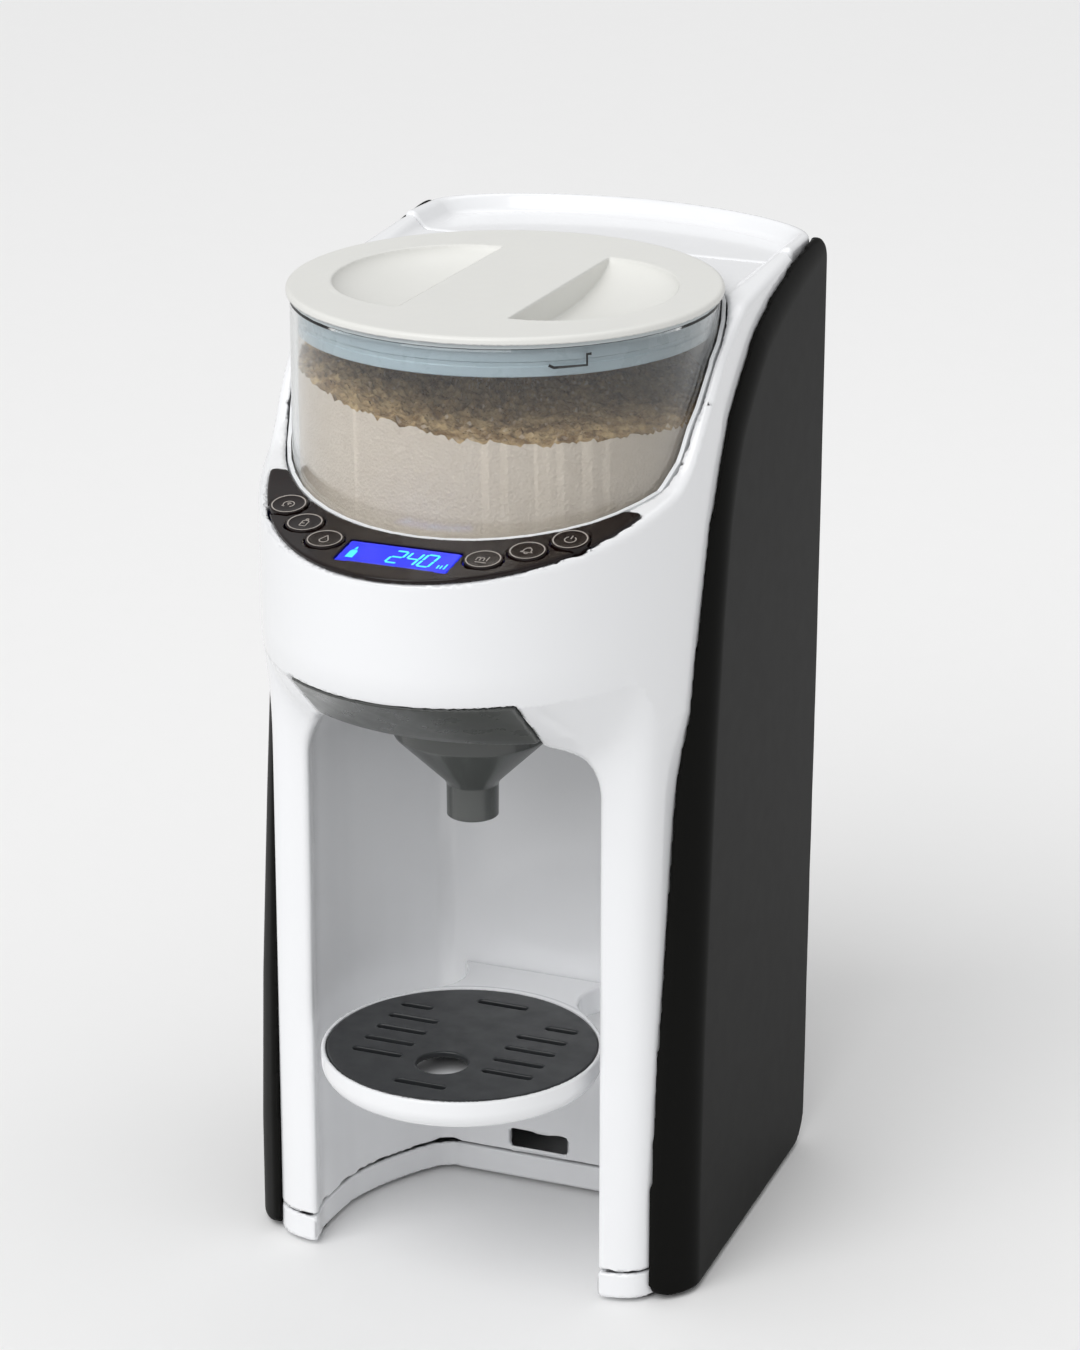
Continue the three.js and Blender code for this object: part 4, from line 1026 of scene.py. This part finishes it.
def funnel_cover(x, y, z):
    wall = side(x, y, z)
    low, high = (-DRAWER_HALF, -150, CEILING + 0.4), (DRAWER_HALF, -15, UNDERCUT_HIGH + 0.6)
    outer = both(block(x, y, z, low, high, 1.5), wall + 0.1, 0.5)
    room = both(wall + 4.6, CEILING + 3 - z)
    cover = without(outer, room, 0.3)
    return without(cover, np.hypot(x, y - FUNNEL_Y) - COLLAR_R, 0.2)


fitted(skin("funnel_cover_moulding", funnel_cover, (-46, -137, 243), (46, -15, 267), 1.0, smoked_dull),
       "funnel", "smoked_funnel", "funnel_cover")

# ------------------------------------------------------------------------------
# Drip tray and grille
# A round white tray with a deep rounded rim. Its bracket hooks into a slot of the bay's rear wall. A charcoal
# grille with rows of slots and a finger hole drops into it.

TRAY_Y, TRAY_R, TRAY_LOW, TRAY_TOP, GRILLE_R = -62, 56.5, 85.3, 98.4, 54.4
BRACKET = smoothed([(-60, 48), (-30, 44), (-18, 36), (-9, 28), (0, 26), (9, 28), (18, 34)], 5)
HOOK_HALF, BASIN_R = 11, 52.3
SLOT_ROWS = (-35, -46.8, -58.6, -70.4, -82.2)
FIRST_INNER, SLOT_INNER, SLOT_OUTER, SLOT_ROUND = 25, 17.5, 38.8, 1.8
END_SLOTS, END_HALF = (-103.5, -20.5), 9.2
FINGER_Y, FINGER_R = -82, 10.5


def drip_tray(x, y, z):
    radius = round_the_axis(x, y, TRAY_Y)
    dish = both(both(radius - TRAY_R, TRAY_LOW - z, 8), z - TRAY_TOP, 0.6)
    bracket = both(both(np.abs(x) - np.interp(y, *BRACKET), y - BAY_BACK + FIT), -30 - y)
    bracket = both(both(bracket, TRAY_LOW + 1 - z, 2), z - TRAY_TOP, 1)
    solid = either(dish, bracket, 1.5)
    for start, high in ((12, 91), (21, 92.6)):
        solid = either(solid, block(x, y, z, (-HOOK_HALF, start, 87), (HOOK_HALF, 24, high), 0.6))
    seat = both(radius - GRILLE_R - 0.35, TRAY_TOP - 3.1 - z, 0.3)
    basin = both(radius - BASIN_R, TRAY_LOW + 3 - z, 3)
    return without(without(solid, seat, 0.4), basin, 0.3)


fitted(skin("drip_tray_moulding", drip_tray, (-57, -119, 85), (57, 24, 98.4), 0.75, white_abs),
       "tray", "white_gloss_abs", "drip_tray")


def grille(x, y, z):
    radius = round_the_axis(x, y, TRAY_Y)
    plate = both(both(radius - GRILLE_R, z - TRAY_TOP, 0.6), TRAY_TOP - 2.8 - z, 0.3)
    holes = np.hypot(x, y - FINGER_Y) - FINGER_R
    for row in SLOT_ROWS:
        inner = (FIRST_INNER if row == SLOT_ROWS[0] else SLOT_INNER) + SLOT_ROUND
        outer = SLOT_OUTER - SLOT_ROUND
        past = np.abs(np.abs(x) - (inner + outer) / 2) - (outer - inner) / 2
        holes = np.minimum(holes, np.hypot(np.maximum(past, 0), y - row) - SLOT_ROUND)
    for row in END_SLOTS:
        holes = np.minimum(holes, np.hypot(np.maximum(np.abs(x) - END_HALF, 0), y - row) - SLOT_ROUND)
    return without(plate, holes, 0.45)


charcoal = moulded("fine-grained charcoal plastic", "#26282A", 0.42, 0.7, 0.015, spread=0.06)
fitted(skin("drip_grille_moulding", grille, (-55, -117, 95.5), (55, -7, 98.4), 0.85, charcoal),
       "grille", "grille_charcoal", "drip_grille")

# ------------------------------------------------------------------------------
# Studio
# A plain pale floor of paper runs into an equally pale surround. One soft key stands at the front left, one
# light hangs overhead, and a very broad sun lights the front from above.

FLOOR_SIZE, SURROUND = 14, 0.62
paper = moulded("pale studio paper", "#F0F0F0", 0.9, 1.5, 0.02, spread=0.01)
bpy.ops.mesh.primitive_plane_add(size=FLOOR_SIZE)
floor = bpy.context.object
floor.name = "studio_floor"
floor.data.materials.append(paper)

world = bpy.data.worlds.new("studio surround")
bpy.context.scene.world = world
world.use_nodes = True
backdrop = world.node_tree.nodes["Background"].inputs
backdrop["Color"].default_value, backdrop["Strength"].default_value = linear("#F2F2F2"), SURROUND


def soft_light(name, place, size, power, aim=(0, 0, 0.22)):
    lamp = bpy.data.lights.new(name, "AREA")
    lamp.shape, lamp.size, lamp.size_y, lamp.energy = "RECTANGLE", size[0], size[1], power
    holder = bpy.data.objects.new(name, lamp)
    bpy.context.collection.objects.link(holder)
    holder.location = place
    holder.rotation_euler = (Vector(aim) - holder.location).to_track_quat("-Z", "Y").to_euler()


soft_light("key_left", (-1.5, -1.2, 1.3), (0.8, 1.3), 2)
soft_light("overhead", (0.1, 0.5, 2.0), (1.2, 1.0), 4)
sky = bpy.data.lights.new("broad_sky", "SUN")
sky.energy, sky.angle = 1.75, math.radians(50)
sky_holder = bpy.data.objects.new("broad_sky", sky)
bpy.context.collection.objects.link(sky_holder)
sky_holder.rotation_euler = Vector((0.12, 0.75, -0.75)).to_track_quat("-Z", "Y").to_euler()
bpy.context.scene.view_settings.view_transform = "Standard"

# ------------------------------------------------------------------------------
# Camera
# A long lens stands to the front right of the machine and a little above its lid, and looks at its middle.

AIM = Vector((0.0050, 0.0070, 0.2332))
TURN, DIP, DISTANCE = math.radians(22.65), math.radians(19.43), 1.7718
forward = Vector((-math.sin(TURN) * math.cos(DIP), math.cos(TURN) * math.cos(DIP), -math.sin(DIP)))
camera = bpy.data.objects.new("camera", bpy.data.cameras.new("camera"))
bpy.context.collection.objects.link(camera)
camera.location = AIM - forward * DISTANCE
camera.rotation_euler = forward.to_track_quat("-Z", "Y").to_euler()
camera.data.sensor_width = 36
camera.data.lens = 117
bpy.context.scene.camera = camera
